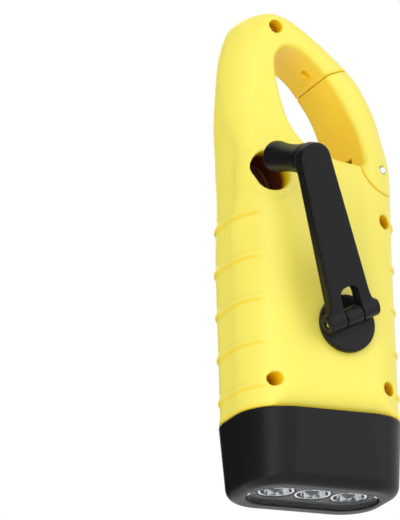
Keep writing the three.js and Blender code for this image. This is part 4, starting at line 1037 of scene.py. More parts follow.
def rounded_corner(points: list[Flat], at: int, reach: float, steps: int = 8) -> list[Flat]:
    """Closed outline with one corner eased into a curve.

    Args:
        points: Corners of the outline.
        at: Which corner is eased.
        reach: How far the curve starts from the corner.
        steps: Points on the curve.

    Returns:
        The new outline.
    """
    corner = np.array(points[at])
    before, after = at - 1, at + 1
    while np.linalg.norm(np.array(points[before]) - corner) < reach:
        before -= 1
    while np.linalg.norm(np.array(points[after]) - corner) < reach:
        after += 1
    ways = (np.array(points[k]) - corner for k in (before, after))
    a, b = (corner + way * reach / np.linalg.norm(way) for way in ways)
    return points[: before + 1] + pulled(a, corner, b, steps) + points[after:]


class Column(int, Enum):
    """Columns of the form's table, after the height."""

    LEFT = 1
    RIGHT = 2
    DEPTH = 3
    CORNER = 4


@dataclass(frozen=True)
class Form:
    """Outer form of the housing that shells and gate share."""

    length: float = 141.4
    half_width: float = 25.0
    half_depth: float = 18.0
    corner: float = 14.0
    wall: float = 2.2
    foot: float = 21.8
    cavity_top: float = 91.0
    crown_reach: float = 4.0
    # Rounder corners at the left, and fuller ones beside the pocket: by how much, and from where to where
    left_rounding: float = 3.0
    pocket_fullness: float = 2.7
    left_below: Flat = (2.0, 12.0)
    left_above: Flat = (11.0, 19.0)
    above: Flat = (116.0, 134.0)
    shoulder_rise: Flat = (68.0, 92.0)
    crown_rise: Flat = (106.0, 126.0)
    pocket_foot: Flat = (74.0, 88.0)
    pocket_head: Flat = (98.0, 112.0)
    pocket_side: Flat = (0.0, 6.0)
    # Height, left edge, right edge, half depth and corner radius, as shares of the sizes above
    shares: tuple[tuple[float, ...], ...] = (
        (0.151, -1.0, 1.0, 1.0, 1.0),
        (0.185, -0.978, 0.978, 1.0, 1.0),
        (0.5, -0.976, 0.976, 1.0, 1.0),
        (0.573, -0.975, 0.985, 1.0, 1.0),
        (0.633, -0.972, 0.984, 0.978, 0.93),
        (0.677, -0.972, 0.972, 0.92, 0.8),
        (0.712, -0.981, 0.95, 0.83, 0.7),
        (0.747, -0.993, 0.91, 0.75, 0.6),
        (0.791, -0.997, 0.845, 0.7, 0.52),
        (0.831, -0.995, 0.75, 0.675, 0.48),
        (0.869, -0.987, 0.627, 0.66, 0.45),
        (0.901, -0.966, 0.465, 0.65, 0.43),
        (0.93, -0.928, 0.27, 0.645, 0.4),
        (0.957, -0.876, 0.07, 0.645, 0.37),
        (0.98, -0.815, -0.13, 0.645, 0.34),
        (1.0, -0.7, -0.33, 0.645, 0.31),
    )
    rib_first: float = 27.7
    rib_pitch: float = 12.65
    rib_height: float = 0.52
    rib_edge: float = 0.25
    rib_crest: float = 1.1
    rib_fade: float = 2.9
    rib_start: float = 0.6
    rib_full: float = 0.74
    rib_count: int = 5
    loop_floor: float = 95.6
    loop_height: float = 35.5
    loop_half_width: float = 12.6
    loop_centre: float = 0.6
    loop_round: float = 1.6
    loop_round_far: float = 4.0
    loop_round_change: Flat = (-1.0, 3.0)
    loop_shares: tuple[Flat, ...] = (
        (0.96, 0.0),
        (1.0, 0.14),
        (0.945, 0.3),
        (0.78, 0.455),
        (0.57, 0.61),
        (0.33, 0.735),
        (0.06, 0.86),
        (-0.37, 0.972),
        (-0.74, 0.985),
        (-0.95, 0.9),
        (-0.985, 0.76),
        (-0.86, 0.48),
        (-0.68, 0.28),
        (-0.36, 0.115),
        (0.16, 0.03),
        (0.6, 0.0),
    )
    pivot: Flat = (19.0, 95.0)
    gate_end: float = 7.4
    gate_reach: float = 31.6
    gate_inner: float = 125.0
    gate_outer: float = 62.0
    # How deep the painted shade is under the ribs, in the loop and along the gate
    rib_shade: float = 0.65
    loop_shade: float = 0.55
    gate_shade: float = 0.7
    shade_edge: Flat = (0.1, 0.5)
    rib_line: Flat = (0.15, 0.6)
    rib_line_drop: float = 0.1
    wall_near: Flat = (0.25, 1.2)
    wall_deep: Flat = (0.6, 2.6)

    def along(self, z: Array, column: Column) -> Array:
        """Value of one column of the table at a height, smooth and without overshoot."""
        rows = np.asarray(self.shares)
        knots, values = rows[:, 0], rows[:, column.value]
        at = np.clip(np.asarray(z, float) / self.length, knots[0], knots[-1])
        secant = np.diff(values) / np.diff(knots)
        product = secant[:-1] * secant[1:]
        total = np.where(product > 0, secant[:-1] + secant[1:], 1.0)
        inner = np.where(product > 0, 2 * product / total, 0.0)
        slope = np.concatenate(([secant[0]], inner, [secant[-1]]))
        low = np.clip(np.searchsorted(knots, at, side="right") - 1, 0, len(knots) - 2)
        span = knots[low + 1] - knots[low]
        t = (at - knots[low]) / span
        rise = t * t * (3 - 2 * t)
        bend = span * t * (1 - t) * (slope[low] * (1 - t) - slope[low + 1] * t)
        return values[low] * (1 - rise) + values[low + 1] * rise + bend

    def edges(self, z: Array) -> tuple[Array, Array]:
        """Left and right edge at a height."""
        return self.half_width * self.along(z, Column.LEFT), self.half_width * self.along(z, Column.RIGHT)

    def depth_at(self, z: Array) -> Array:
        """Half depth at a height."""
        return self.half_depth * self.along(z, Column.DEPTH)

    def corner_at(self, z: Array) -> Array:
        """Radius of the corners at a height."""
        return self.corner * self.along(z, Column.CORNER)

    def side_outline(self) -> list[Flat]:
        """Outline of the housing as its faces show it, with the crown's two corners eased."""
        heights = np.linspace(self.foot - 6, self.length, 110)
        left, right = (list(zip(edge.tolist(), heights.tolist())) for edge in self.edges(heights))
        outline = rounded_corner(left + right[::-1], len(left), self.crown_reach)
        return rounded_corner(outline, len(left) - 1, self.crown_reach)

    def loop_outline(self) -> list[Flat]:
        """Edge of the clip-on loop's hole."""
        across = [self.loop_centre + share * self.loop_half_width for share, _ in self.loop_shares]
        up = [self.loop_floor + share * self.loop_height for _, share in self.loop_shares]
        return closed_spline(list(zip(across, up)), 8)

    def gate_outline(self, clearance: float) -> list[Flat]:
        """Outline of the gate about its pivot, grown by a clearance."""
        px, pz = self.pivot
        end, reach = self.gate_end + clearance, self.gate_reach + clearance
        tip = [(reach, angle) for angle in np.linspace(self.gate_inner, self.gate_outer, 24)]
        foot = [(end, angle) for angle in np.linspace(0, -180, 40)]
        turns = [(radius, math.radians(angle)) for radius, angle in tip + foot]
        return [(px - end, pz)] + [(px + r * math.cos(a), pz + r * math.sin(a)) for r, a in turns]

    def ribs(self, z: Array) -> Array:
        """How far the grip ribs stand proud at a height: sharp below, fading upward."""
        k = np.round((z - self.rib_first - self.rib_fade / 2) / self.rib_pitch)
        up = z - self.rib_first - k * self.rib_pitch
        fade = np.clip((self.rib_fade - up) / (self.rib_fade - self.rib_crest), 0, 1)
        relief = np.where(up < self.rib_crest, np.clip(up / self.rib_edge, 0, 1), fade**2)
        return np.where((k >= 0) & (k < self.rib_count) & (up > 0), self.rib_height * relief, 0.0)

    def ribbed(self, side: Array, face: Array, corner: Array) -> Array:
        """Share of the ribs' height that a place has: none on the faces, all of it on the sides.

        Args:
            side: Distance to the outline.
            face: Distance to the faces.
            corner: Radius of the corner between them.

        Returns:
            The share.
        """
        across, deep = np.maximum(side + corner, 0), np.maximum(face + corner, 0)
        turn = across / np.maximum(np.hypot(across, deep), 1e-6)
        return smooth(turn, self.rib_start, self.rib_full)

    def under_ribs(self, at: Places) -> Array:
        """Mark from 0 to 1 of painted shade in the sharp corner under each grip rib."""
        k = np.round((at.z - self.rib_first) / self.rib_pitch)
        below = np.abs(at.z - self.rib_first - k * self.rib_pitch + self.rib_line_drop)
        side = outline_distance(at, self.side_outline())
        share = self.ribbed(side, np.abs(at.y) - self.depth_at(at.z), self.corner_at(at.z))
        return np.where((k >= 0) & (k < self.rib_count), (1 - smooth(below, *self.rib_line)) * share, 0.0)

    def loop_wall(self, at: Places) -> Array:
        """Mark from 0 to 1 of painted shade on the wall of the loop's hole, fading out over its rounded edges.
        """
        hole = outline_distance(at, self.loop_outline())
        inward = self.depth_at(at.z) - np.abs(at.y)
        return (1 - smooth(hole, *self.wall_near)) * smooth(inward, *self.wall_deep)

    def painted_shade(self, at: Places, clearance: float) -> Array:
        """Mark of painted shade where shells and gate are recessed: under the ribs, in the loop, along the
        gate's edge.
        """
        gate = np.abs(outline_distance(at, self.gate_outline(clearance)))
        beside = self.gate_shade * (1 - smooth(gate, *self.shade_edge))
        return both(self.rib_shade * self.under_ribs(at), self.loop_shade * self.loop_wall(at), beside)

    def outside(self, at: Places, grow: float = 0.0, plain: bool = False) -> Array:
        """Field of the outer form.

        Args:
            at: Places to measure at.
            grow: How far the form is grown.
            plain: Whether the grip ribs and the hole of the loop are left off.

        Returns:
            The field.
        """
        side = outline_distance(at, self.side_outline()) - grow
        face = np.abs(at.y) - (self.depth_at(at.z) + grow)
        high = smooth(at.z, *self.above)
        left = smooth(-at.x, *self.left_below) * (1 - high) + smooth(-at.x, *self.left_above) * high
        beside_pocket = smooth(at.z, *self.pocket_foot) * (1 - smooth(at.z, *self.pocket_head))
        fuller = self.pocket_fullness * beside_pocket * smooth(-at.y, *self.pocket_side)
        rise = smooth(at.z, *self.shoulder_rise) - fuller + smooth(at.z, *self.crown_rise)
        corner = self.corner_at(at.z) + grow + self.left_rounding * left * rise
        form = meet(side, face, corner)
        if plain:
            return form
        form = form - self.ribs(at.z) * self.ribbed(side, face, corner)
        more = (self.loop_round_far - self.loop_round) * smooth(at.y, *self.loop_round_change)
        return meet(form, -outline_distance(at, self.loop_outline()), self.loop_round + more)

    def inside(self, at: Places, inset: float) -> Array:
        """Field of what lies an inset in from the outside, up to the top of the cavity."""
        return np.maximum(self.outside(at, -inset, True), at.z - self.cavity_top)

    def face_depth(self, x: float, z: float) -> float:
        """Depth of the face at a place, where its corners are already rounded."""
        left, right = self.edges(z)
        depth, corner = self.depth_at(z), self.corner_at(z)
        into = max(0.0, abs(x - (left + right) / 2) - ((right - left) / 2 - corner))
        return float(depth - corner + math.sqrt(corner**2 - into**2))


@dataclass
class Part:
    """What every sub-assembly has: the workshop and the form of the housing."""

    shop: Workshop
    form: Form = Form()


@dataclass(frozen=True)
class ScrewHole:
    """Sunk screw hole of the back shell."""

    x: float
    z: float
    sink: float = 8.0
    radius: float = 2.05
    shank: float = 0.9
    boss: float = 3.1
    length: float = 13.0


@dataclass
class Housing(Part):
    """The two yellow shells, their screws and what is moulded into them."""

    step: float = 0.45
    back_block: tuple[Point, Point] = ((-26.5, -20.5, 21.0), (26.5, 0.8, 142.3))
    front_block: tuple[Point, Point] = ((-26.5, -0.8, 21.0), (26.5, 18.8, 142.3))
    edge: float = 0.35
    soft_edge: float = 0.3
    screws: tuple[ScrewHole, ...] = (
        ScrewHole(-17.5, 29.5),
        ScrewHole(17.5, 29.5),
        ScrewHole(18.5, 79.2),
        ScrewHole(-11.2, 136.4, 6.0, length=9.0),
    )
    boss_inset: float = 0.4
    hub: Flat = (3.6, 46.4)
    hub_hole: float = 5.25
    hub_boss: float = 1.5
    stow: float = 25.4
    pocket_from_hub: float = 48.4
    pocket_radius: float = 4.9
    pocket_stretch: float = 1.3
    pocket_lip: float = 1.6
    pocket_proud: float = 0.12
    pocket_front: float = -9.0
    pocket_end: float = -3.85
    pocket_fillet: float = 0.6
    pocket_floor: float = 1.5
    rim_round: float = 0.5
    rim_fillet: float = 1.6
    button: Flat = (0.0, 37.0)
    button_radius: float = 3.75
    button_inside: float = 18.0
    tongue_radius: float = 3.5
    tongue_foot: float = 8.6
    tongue_hole: float = 1.5
    tongue_back: float = -6.05
    tongue_front: float = 2.2
    frame_seat: float = 1.0
    posts: tuple[Flat, ...] = ((-16.3, 58.0), (16.3, 58.0))
    post_radius: float = 2.2
    post_hole: float = 1.2
    post_hole_end: float = -6.0
    notch: Point = (1.7, -2.6, 126.2)
    notch_half: Point = (0.8, 1.2, 1.5)
    notch_corner: float = 0.2
    notch_edge: float = 0.15
    gate_gap: float = 0.14
    hem_shade: float = 0.6
    hem_edge: Flat = (0.4, 1.1)

    def pocket(self, at: Places, grow: float) -> Array:
        """Field of the pocket's outline, which lies along the stowed arm."""
        sine, cosine = math.sin(math.radians(self.stow)), math.cos(math.radians(self.stow))
        dx = at.x - (self.hub[0] - self.pocket_from_hub * sine)
        dz = at.z - (self.hub[1] + self.pocket_from_hub * cosine)
        half, radius = self.pocket_radius + self.pocket_stretch + grow, self.pocket_radius + grow
        return stadium_distance(-dx * sine + dz * cosine, dx * cosine + dz * sine, half, radius)

    def tongue(self, at: Places) -> Array:
        """Field of the ear that the gate's fork straddles."""
        px, pz = self.form.pivot
        web = both(np.abs(at.x - px) - self.tongue_radius, at.z - pz, pz - self.tongue_foot - at.z)
        ear = fuse(bar(at, px, pz, self.tongue_radius), web)
        ear = both(ear, self.tongue_back - at.y, at.y - self.tongue_front)
        return carve(ear, bar(at, px, pz, self.tongue_hole))

    def body(self, at: Places) -> Array:
        """Field of both shells together, before they are parted."""
        form = self.form
        body = carve(form.outside(at), outline_distance(at, form.gate_outline(self.gate_gap)), self.edge)
        lip = self.pocket(at, self.pocket_lip)
        room = carve(form.inside(at, form.wall), bar(at, *form.pivot, form.gate_end + RUN_GAP + form.wall))
        room = carve(room, np.maximum(lip, at.y - self.pocket_end - self.pocket_floor))
        proud = form.outside(at, self.pocket_proud, True)
        rim = meet(np.maximum(lip, at.y - self.pocket_front), proud, self.rim_round)
        return fuse(carve(body, room), rim, self.rim_fillet)

    def bosses(self, at: Places, posts: Sequence[tuple[float, float, float]]) -> Array:
        """Field of the round posts inside the body, each given by its place and radius, and of the ear."""
        inside = self.form.inside(at, self.boss_inset)
        fields = [np.maximum(bar(at, x, z, radius), inside) for x, z, radius in posts]
        return reduce(np.minimum, fields, self.tongue(at))

    def screw_head(self, screw: ScrewHole) -> float:
        """Depth at which a screw's head is seated."""
        return -self.form.face_depth(screw.x, screw.z) + screw.sink

    def screw_hole(self, at: Places, screw: ScrewHole) -> Array:
        """Field of a sunk screw hole."""
        return np.maximum(bar(at, screw.x, screw.z, screw.radius), at.y - self.screw_head(screw))

    def button_hole(self, at: Places) -> Array:
        """Field of the button's hole through the right side."""
        y, z = self.button
        return np.maximum(np.hypot(at.y - y, at.z - z) - self.button_radius, self.button_inside - at.x)

    def catch(self, at: Places) -> Array:
        """Field of the notch that the gate's catch snaps into."""
        x, y, z = self.notch
        half_x, half_y, half_z = self.notch_half
        column = rectangle_distance(at.x - x, at.y - y, half_x, half_y, self.notch_corner)
        return np.maximum(column, np.abs(at.z - z) - half_z)

    def shared_marks(self, at: Places) -> Array:
        """Mark of painted shade where both shells are recessed, and in a band along their hem above the head.
        """
        hem = self.hem_shade * (1 - smooth(at.z - self.form.foot, *self.hem_edge))
        return np.maximum(self.form.painted_shade(at, self.gate_gap), hem)

    def back_marks(self, at: Places) -> Array:
        """Mark of painted shade on the crank's side: in its screw holes, the catch's notch and the knob's
        pocket, darkest deep in the pocket.
        """
        under = -self.form.outside(at, 0.0, True)
        line = self.form.shade_edge
        holes = [1 - smooth(self.screw_hole(at, screw), *line) for screw in self.screws]
        shade = smooth(under, -0.2, 1.5) + smooth(under, 1.0, 6.0)
        pocket = (1 - smooth(self.pocket(at, 0.0), *line)) * shade
        catch = 1 - smooth(self.catch(at), 0.1, 0.4)
        return both(self.shared_marks(at), both(*holes) * smooth(under, 0.1, 1.0), catch, pocket)

    def shell(self, name: str, grid: Grid, whole: Array, side: Array, marks: Callable) -> None:
        """Parts one shell from the body and makes its piece.

        Args:
            name: Name of the shell's CAD node, ending in shell; the piece ends in half.
            grid: Grid that the body is on.
            whole: Field of the body.
            side: Field of the side that the shell lies on.
            marks: Gives the mark of painted shade where the shell is recessed.
        """
        skin = net(grid, both(whole, side, self.form.foot - grid.z), whole)
        # Painted shade: the finish darkens the colour where this mark is set
        skin.marks["recess"] = marks(skin.spots())
        piece = name.replace("shell", "half")
        self.shop.piece(piece, skin, "yellow", Body.HOUSING, Slot.YELLOW, [name])

    def back(self) -> None:
        """Builds the crank's side shell with its pocket and screw holes."""
        grid = Grid(*self.back_block, self.step)
        posts = [(screw.x, screw.z, screw.boss) for screw in self.screws[:-1]]
        posts += [(x, z, self.post_radius) for x, z in self.posts]
        body = fuse(self.body(grid), self.bosses(grid, posts))
        pocket = meet(self.pocket(grid, 0.0), grid.y - self.pocket_end, self.pocket_fillet)
        hub_floor = self.form.wall - self.form.half_depth + self.hub_boss
        tools = [
            (pocket, self.edge),
            (np.maximum(bar(grid, *self.hub, self.hub_hole), grid.y - hub_floor), 0.0),
            (self.button_hole(grid), self.soft_edge),
            (self.catch(grid), self.notch_edge),
        ]
        for screw in self.screws:
            shank = bar(grid, screw.x, screw.z, screw.shank + SEAT_GAP)
            tools.append((self.screw_hole(grid, screw), self.soft_edge))
            tools.append((np.maximum(shank, self.screw_head(screw) - 1 - grid.y), 0.0))
        for x, z in self.posts:
            tools.append((np.maximum(bar(grid, x, z, self.post_hole), self.post_hole_end - grid.y), 0.0))
        for tool, radius in tools:
            body = carve(body, tool, radius)
        self.shell("back_shell", grid, body, grid.y + SPLIT_GAP / 2, self.back_marks)

    def front(self) -> None:
        """Builds the panel's side shell with the seat of the solar frame."""
        grid = Grid(*self.front_block, self.step)
        posts = [(screw.x, screw.z, screw.boss) for screw in self.screws[:-1]]
        body = fuse(self.body(grid), self.bosses(grid, posts))
        for screw in self.screws:
            tip = self.screw_head(screw) + screw.length + SEAT_GAP
            body = carve(body, np.maximum(bar(grid, screw.x, screw.z, screw.shank + SEAT_GAP), grid.y - tip))
        seat = outline_distance(grid, panel_outline(SEAT_GAP))
        seat = np.maximum(seat, self.form.half_depth - self.frame_seat - grid.y)
        body = carve(carve(body, seat, self.soft_edge), self.button_hole(grid), self.soft_edge)
        self.shell("front_shell", grid, body, SPLIT_GAP / 2 - grid.y, self.shared_marks)

    def build(self) -> None:
        """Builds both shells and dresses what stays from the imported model."""
        self.back()
        self.front()
        self.shop.dress([f"housing_screw_{k + 1}" for k in range(len(self.screws))], "screw")


@dataclass
class Gate(Part):
    """Sprung gate of the clip-on loop, with its pin."""

    step: float = 0.42
    block: tuple[Point, Point] = ((1.0, -17.5, 86.5), (27.0, 17.5, 126.0))
    edge: float = 0.3
    fork_half: float = 6.4
    fork_radius: float = 7.7
    fork_wall: float = 1.5
    pin_radius: float = 1.2
    pin_gap: float = 0.05
    hole_edge: float = 0.1
    pin_inset: float = 0.15
    pin_short: float = 2.5

    def arm(self) -> None:
        """Builds the gate with its fork."""
        form, (px, pz) = self.form, self.form.pivot
        grid = Grid(*self.block, self.step)
        gate = meet(form.outside(grid), outline_distance(grid, form.gate_outline(0.0)), self.edge)
        wall = grid.x - (float(form.edges(pz)[1]) - self.fork_wall)
        slot = both(bar(grid, px, pz, self.fork_radius), np.abs(grid.y) - self.fork_half, wall)
        gate = carve(gate, slot, self.edge)
        hole = bar(grid, px, pz, self.pin_radius + self.pin_gap)
        skin = net(grid, carve(gate, hole, self.hole_edge))
        # Painted shade under the ribs, in the loop and along the gate's edge
        skin.marks["recess"] = form.painted_shade(skin.spots(), 0.0)
        self.shop.piece("gate_arm", skin, "yellow", Body.GATE, Slot.YELLOW, ["gate"])

    def build(self) -> None:
        """Builds the gate and its pin."""
        self.arm()
        px, pz = self.form.pivot
        face = self.form.face_depth(px, pz)
        low, high = -face + self.pin_inset, face - self.pin_short
        r = self.pin_radius
        end = [(AXIS, low, 0.0), (r * 0.75, low + 0.05, 0.2), (r, low + 0.35, 0.2)]
        profile = end + [(r, high, 0.2), (AXIS, high, 0.0)]
        pin = lathe(softened(profile), 32, 1).shifted(px, 0, pz)
        self.shop.piece("gate_hinge_pin", pin, "steel", Body.GATE, Slot.STEEL, ["gate_pin"])
        self.shop.dress(["gate_spring"], "steel")


# Head


@dataclass
class Head(Part):
    """Black lamp head: bezel, window, reflector cups and lamps."""

    step: float = 0.4
    block: tuple[Point, Point] = ((-26.2, -19.2, -0.8), (26.2, 19.2, 26.6))
    height: float = 21.5
    taper: float = 1.4
    depth_taper: float = 2.2
    rim: float = 3.2
    top_round: float = 0.35
    recess_round: float = 0.6
    mouth_round: float = 0.3
    neck_foot: float = 3.0
    neck_height: float = 4.2
    neck_wall: float = 1.6
    window_half_length: float = 19.5
    window_half_width: float = 9.2
    window_depth: float = 1.7
    deck: float = 2.4
    lens_thickness: float = 1.2
    # How far in from the rim, and how high above the lower face
    lens_edge: tuple[Flat, ...] = ((1.4, 0.0), (0.45, 0.0), (0.3, 0.0), (0.08, 0.1), (0.0, 0.3))
    pitch: float = 11.2
    lamps: int = 3
    cup_mouth: float = 5.1
    cup_throat: float = 3.0
    cup_depth: float = 8.0
    cup_wall: float = 0.6
    flange_thickness: float = 0.9
    flange_rim: float = 1.4
    led_radius: float = 2.5
    led_length: float = 7.0
    led_flange: float = 2.8
    post_height: float = 3.6
    # Radius, and height above the post's foot
    post_foot: tuple[Flat, ...] = ((AXIS, 0.2), (0.7, 0.2), (0.95, 0.0), (1.05, 0.0), (1.0, 1.0))
    chip: tuple[Flat, ...] = ((AXIS, 0.02), (0.5, 0.03), (0.68, 0.08), (0.68, 0.18), (AXIS, 0.19))

    def places(self) -> list[float]:
        """Where the lamps stand across the head."""
        return [(k - (self.lamps - 1) / 2) * self.pitch for k in range(self.lamps)]

    def section(self, at: Places, inset: float) -> Array:
        """Field of the head's tapered column."""
        drop = np.clip(1 - at.z / self.height, 0, 1)
        half_u = self.form.half_width - self.taper * drop - inset
        half_v = self.form.half_depth - self.depth_taper * drop - inset
        corner = np.maximum(self.form.corner - self.depth_taper * drop - inset, 0.5)
        return rectangle_distance(at.x, at.y, half_u, half_v, corner)

    def bezel(self) -> None:
        """Builds the black bezel with its recess and lamp openings."""
        grid = Grid(*self.block, self.step)
        outer = meet(self.section(grid, 0.0), -grid.z, self.rim)
        outer = meet(outer, grid.z - self.height, self.top_round)
        inset = self.form.wall + SEAT_GAP
        low, high = self.height - self.neck_foot, self.height + self.neck_height
        solid = fuse(outer, both(self.section(grid, inset), low - grid.z, grid.z - high))
        deck_top = self.window_depth + self.deck
        solid = carve(solid, np.maximum(self.section(grid, inset + self.neck_wall), deck_top - grid.z))
        recess = stadium_distance(grid.x, grid.y, self.window_half_length, self.window_half_width)
        recess = np.maximum(recess, grid.z - self.window_depth)
        solid = carve(solid, recess, self.recess_round)
        for x in self.places():
            mouth = np.hypot(grid.x - x, grid.y) - self.cup_mouth - SEAT_GAP
            solid = carve(solid, np.maximum(mouth, grid.z - deck_top - 1), self.mouth_round)
        skin = net(grid, solid)
        # Painted shade: the black darkens down in the window's recess
        marks = grid.full(1 - smooth(recess, 0.0, 0.7))
        skin.marks["recess"] = sample(marks, (skin.points - grid.origin) / grid.step)
        self.shop.piece("lamp_bezel", skin, "black", Body.HOUSING, Slot.BLACK, ["head_bezel"])

    def ring(self, half: float, radius: float, z: float, sides: int = 20) -> Array:
        """Ring of a long hole's outline at a height."""
        points = []
        for side in (1, -1):
            for angle in np.linspace(-90, 90, sides):
                a = math.radians(angle if side == 1 else angle + 180)
                points.append((side * (half - radius) + radius * math.cos(a), radius * math.sin(a), z))
        return np.array(points)

    def window(self) -> None:
        """Builds the clear window with softened edges."""
        half, radius = self.window_half_length - SEAT_GAP, self.window_half_width - SEAT_GAP
        top = self.window_depth - SEAT_GAP
        low = top - self.lens_thickness
        layers = [(inset, low + up) for inset, up in self.lens_edge]
        layers += [(inset, low + top - z) for inset, z in reversed(layers)]
        window = stacked([self.ring(half - inset, radius - inset, z) for inset, z in layers])
        self.shop.piece("lamp_window", window, "window", Body.HOUSING, Slot.WINDOW, ["lens_window"], 25.0)

    def cup(self, x: float) -> Skin:
        """Thin curved cup, widening downward, at a place across the head."""
        top = self.window_depth + SEAT_GAP + self.cup_depth
        widens = self.cup_mouth - self.cup_wall - self.cup_throat
        downs = np.linspace(0, 1, 22) ** 1.6
        inner = [(self.cup_throat + widens * math.sqrt(down), top - self.cup_depth * down) for down in downs]
        outer = [(radius + self.cup_wall, along) for radius, along in inner]
        return lathe(inner + outer[::-1] + inner[:1], 64).shifted(x, 0, 0)

    def cups(self) -> None:
        """Builds the three chromed cups on their flange."""
        low = self.window_depth + self.deck + SEAT_GAP
        high = low + self.flange_thickness
        grid = Grid((-19.0, -8.0, low - BLOCK_EDGE), (19.0, 8.0, high + BLOCK_EDGE), self.step)
        reach = self.cup_mouth + self.flange_rim
        flange = stadium_distance(grid.x, grid.y, self.pitch + reach, reach)
        flange = both(flange, low - grid.z, grid.z - high)
        for x in self.places():
            flange = carve(flange, np.hypot(grid.x - x, grid.y) - self.cup_mouth + self.cup_wall / 2)
        cups = merged([self.cup(x) for x in self.places()] + [net(grid, flange)])
        self.shop.piece("lamp_cups", cups, "chrome", Body.HOUSING, Slot.CHROME, ["reflector"], 45.0)

    def lamp(self, k: int, x: float) -> None:
        """Builds one lamp: clear dome, and the lit chip on its post inside it."""
        base = self.window_depth + SEAT_GAP + self.cup_depth
        r, wide = self.led_radius, self.led_flange
        dome = base - self.led_length + r
        turns = np.linspace(0.12, math.pi / 2 - 0.01, 12)
        shell = [(AXIS, base), (wide, base), (wide, base - 0.9), (r, base - 0.95), (r, dome)]
        shell += [(r * math.cos(a), dome - r * math.sin(a)) for a in turns]
        foot, top = base - self.post_height, base - 0.3
        post = [(radius, foot + up) for radius, up in self.post_foot] + [(0.5, top), (AXIS, top)]
        chip = [(radius, foot + up) for radius, up in self.chip]
        for name, profile, sides, finish, instead_of, crease in (
            ("dome", shell[::-1], 40, "lamp", [f"led_{k}"], 35.0),
            ("post", post, 24, "steel", [], 40.0),
            ("chip", chip, 24, "phosphor", [], 40.0),
        ):
            skin = lathe(profile, sides).shifted(x, 0, 0)
            self.shop.piece(f"lamp_{name}_{k}", skin, finish, Body.HOUSING, Slot.LAMP, instead_of, crease)

    def build(self) -> None:
        """Builds the head and dresses the lamps' board."""
        self.bezel()
        self.window()
        self.cups()
        for k, x in enumerate(self.places()):
            self.lamp(k + 1, x)
        self.shop.dress(["led_board"], "board")


def merged(skins: Sequence[Skin]) -> Skin:
    """Several skins as one, without their normals."""
    points, faces, offset = [], [], 0
    for skin in skins:
        points.append(skin.points)
        faces += [tuple(int(i) + offset for i in face) for face in skin.faces]
        offset += len(skin.points)
    return Skin(np.concatenate(points), faces)


# Solar panel


def panel_outline(grow: float) -> list[Flat]:
    """Outline of the solar frame: straight sides, round corners and a slightly arched top."""
    half, bottom, top = 16.0 + grow, 27.6 - grow, 79.6 + grow
    rise, corner = 1.2, 3.5 + grow
    side, shoulder, crest = (half, top - rise), (half - corner, top - rise / 2), (0, top + rise / 2)
    turns = np.linspace(-math.pi / 2, 0, 8)
    right = [(half - corner + corner * math.cos(a), bottom + corner + corner * math.sin(a)) for a in turns]
    right += pulled((half, top - rise - corner), side, shoulder, 9)
    arch = pulled(shoulder, crest, (-shoulder[0], shoulder[1]), 9)
    return right + arch + [(-x, z) for x, z in right[::-1]]


@dataclass
class SolarPanel(Part):
    """Black stepped frame round the solar cell."""

    step: float = 0.26
    sink: float = 1.0
    proud: float = 1.9
    step_width: float = 1.5
    step_drop: float = 0.7
    groove: float = 0.6
    groove_width: float = 0.8
    cell_half: float = 10.0
    cell_thickness: float = 0.9
    ledge: float = 1.2
    bevel: float = 1.5
    bevel_slope: float = 0.707
    outer_round: float = 0.3
    inner_round: float = 0.35
    small_round: float = 0.15
    opening_round: float = 0.2

    def build(self) -> None:
        """Builds the frame and dresses the cell."""
        back = self.form.half_depth - self.sink + SEAT_GAP
        top = self.form.half_depth + self.proud
        grid = Grid((-16.8, back - 0.7, 26.8), (16.8, top + 0.7, 80.6), self.step)
        outline = outline_distance(grid, panel_outline(0.0))
        low = meet(outline, grid.y - (top - self.step_drop), self.outer_round)
        high = meet(outline + self.step_width, grid.y - top, self.inner_round)
        frame = np.maximum(fuse(low, high, self.small_round), back - grid.y)
        middle, tall = (CELL[1] + CELL[0]) / 2, (CELL[1] - CELL[0]) / 2
        cell = rectangle_distance(grid.x, grid.z - middle, self.cell_half, tall, self.ledge)
        groove_half = self.groove_width / 2
        groove = np.abs(outline + self.step_width + self.groove + groove_half) - groove_half
        frame = carve(frame, np.maximum(groove, top - self.groove - grid.y), self.small_round)
        slope = (cell - (grid.y - (top - self.bevel))) * self.bevel_slope
        opening = np.minimum(cell, np.maximum(slope, top - self.bevel - grid.y))
        seat = np.maximum(cell - self.ledge - SEAT_GAP, grid.y - back - self.cell_thickness - SEAT_GAP)
        skin = net(grid, carve(carve(frame, opening, self.opening_round), seat))
        self.shop.piece("panel_frame", skin, "frame_black", Body.HOUSING, Slot.BLACK, ["solar_frame"])
        self.shop.dress(["solar_cell"], "film")


# Crank


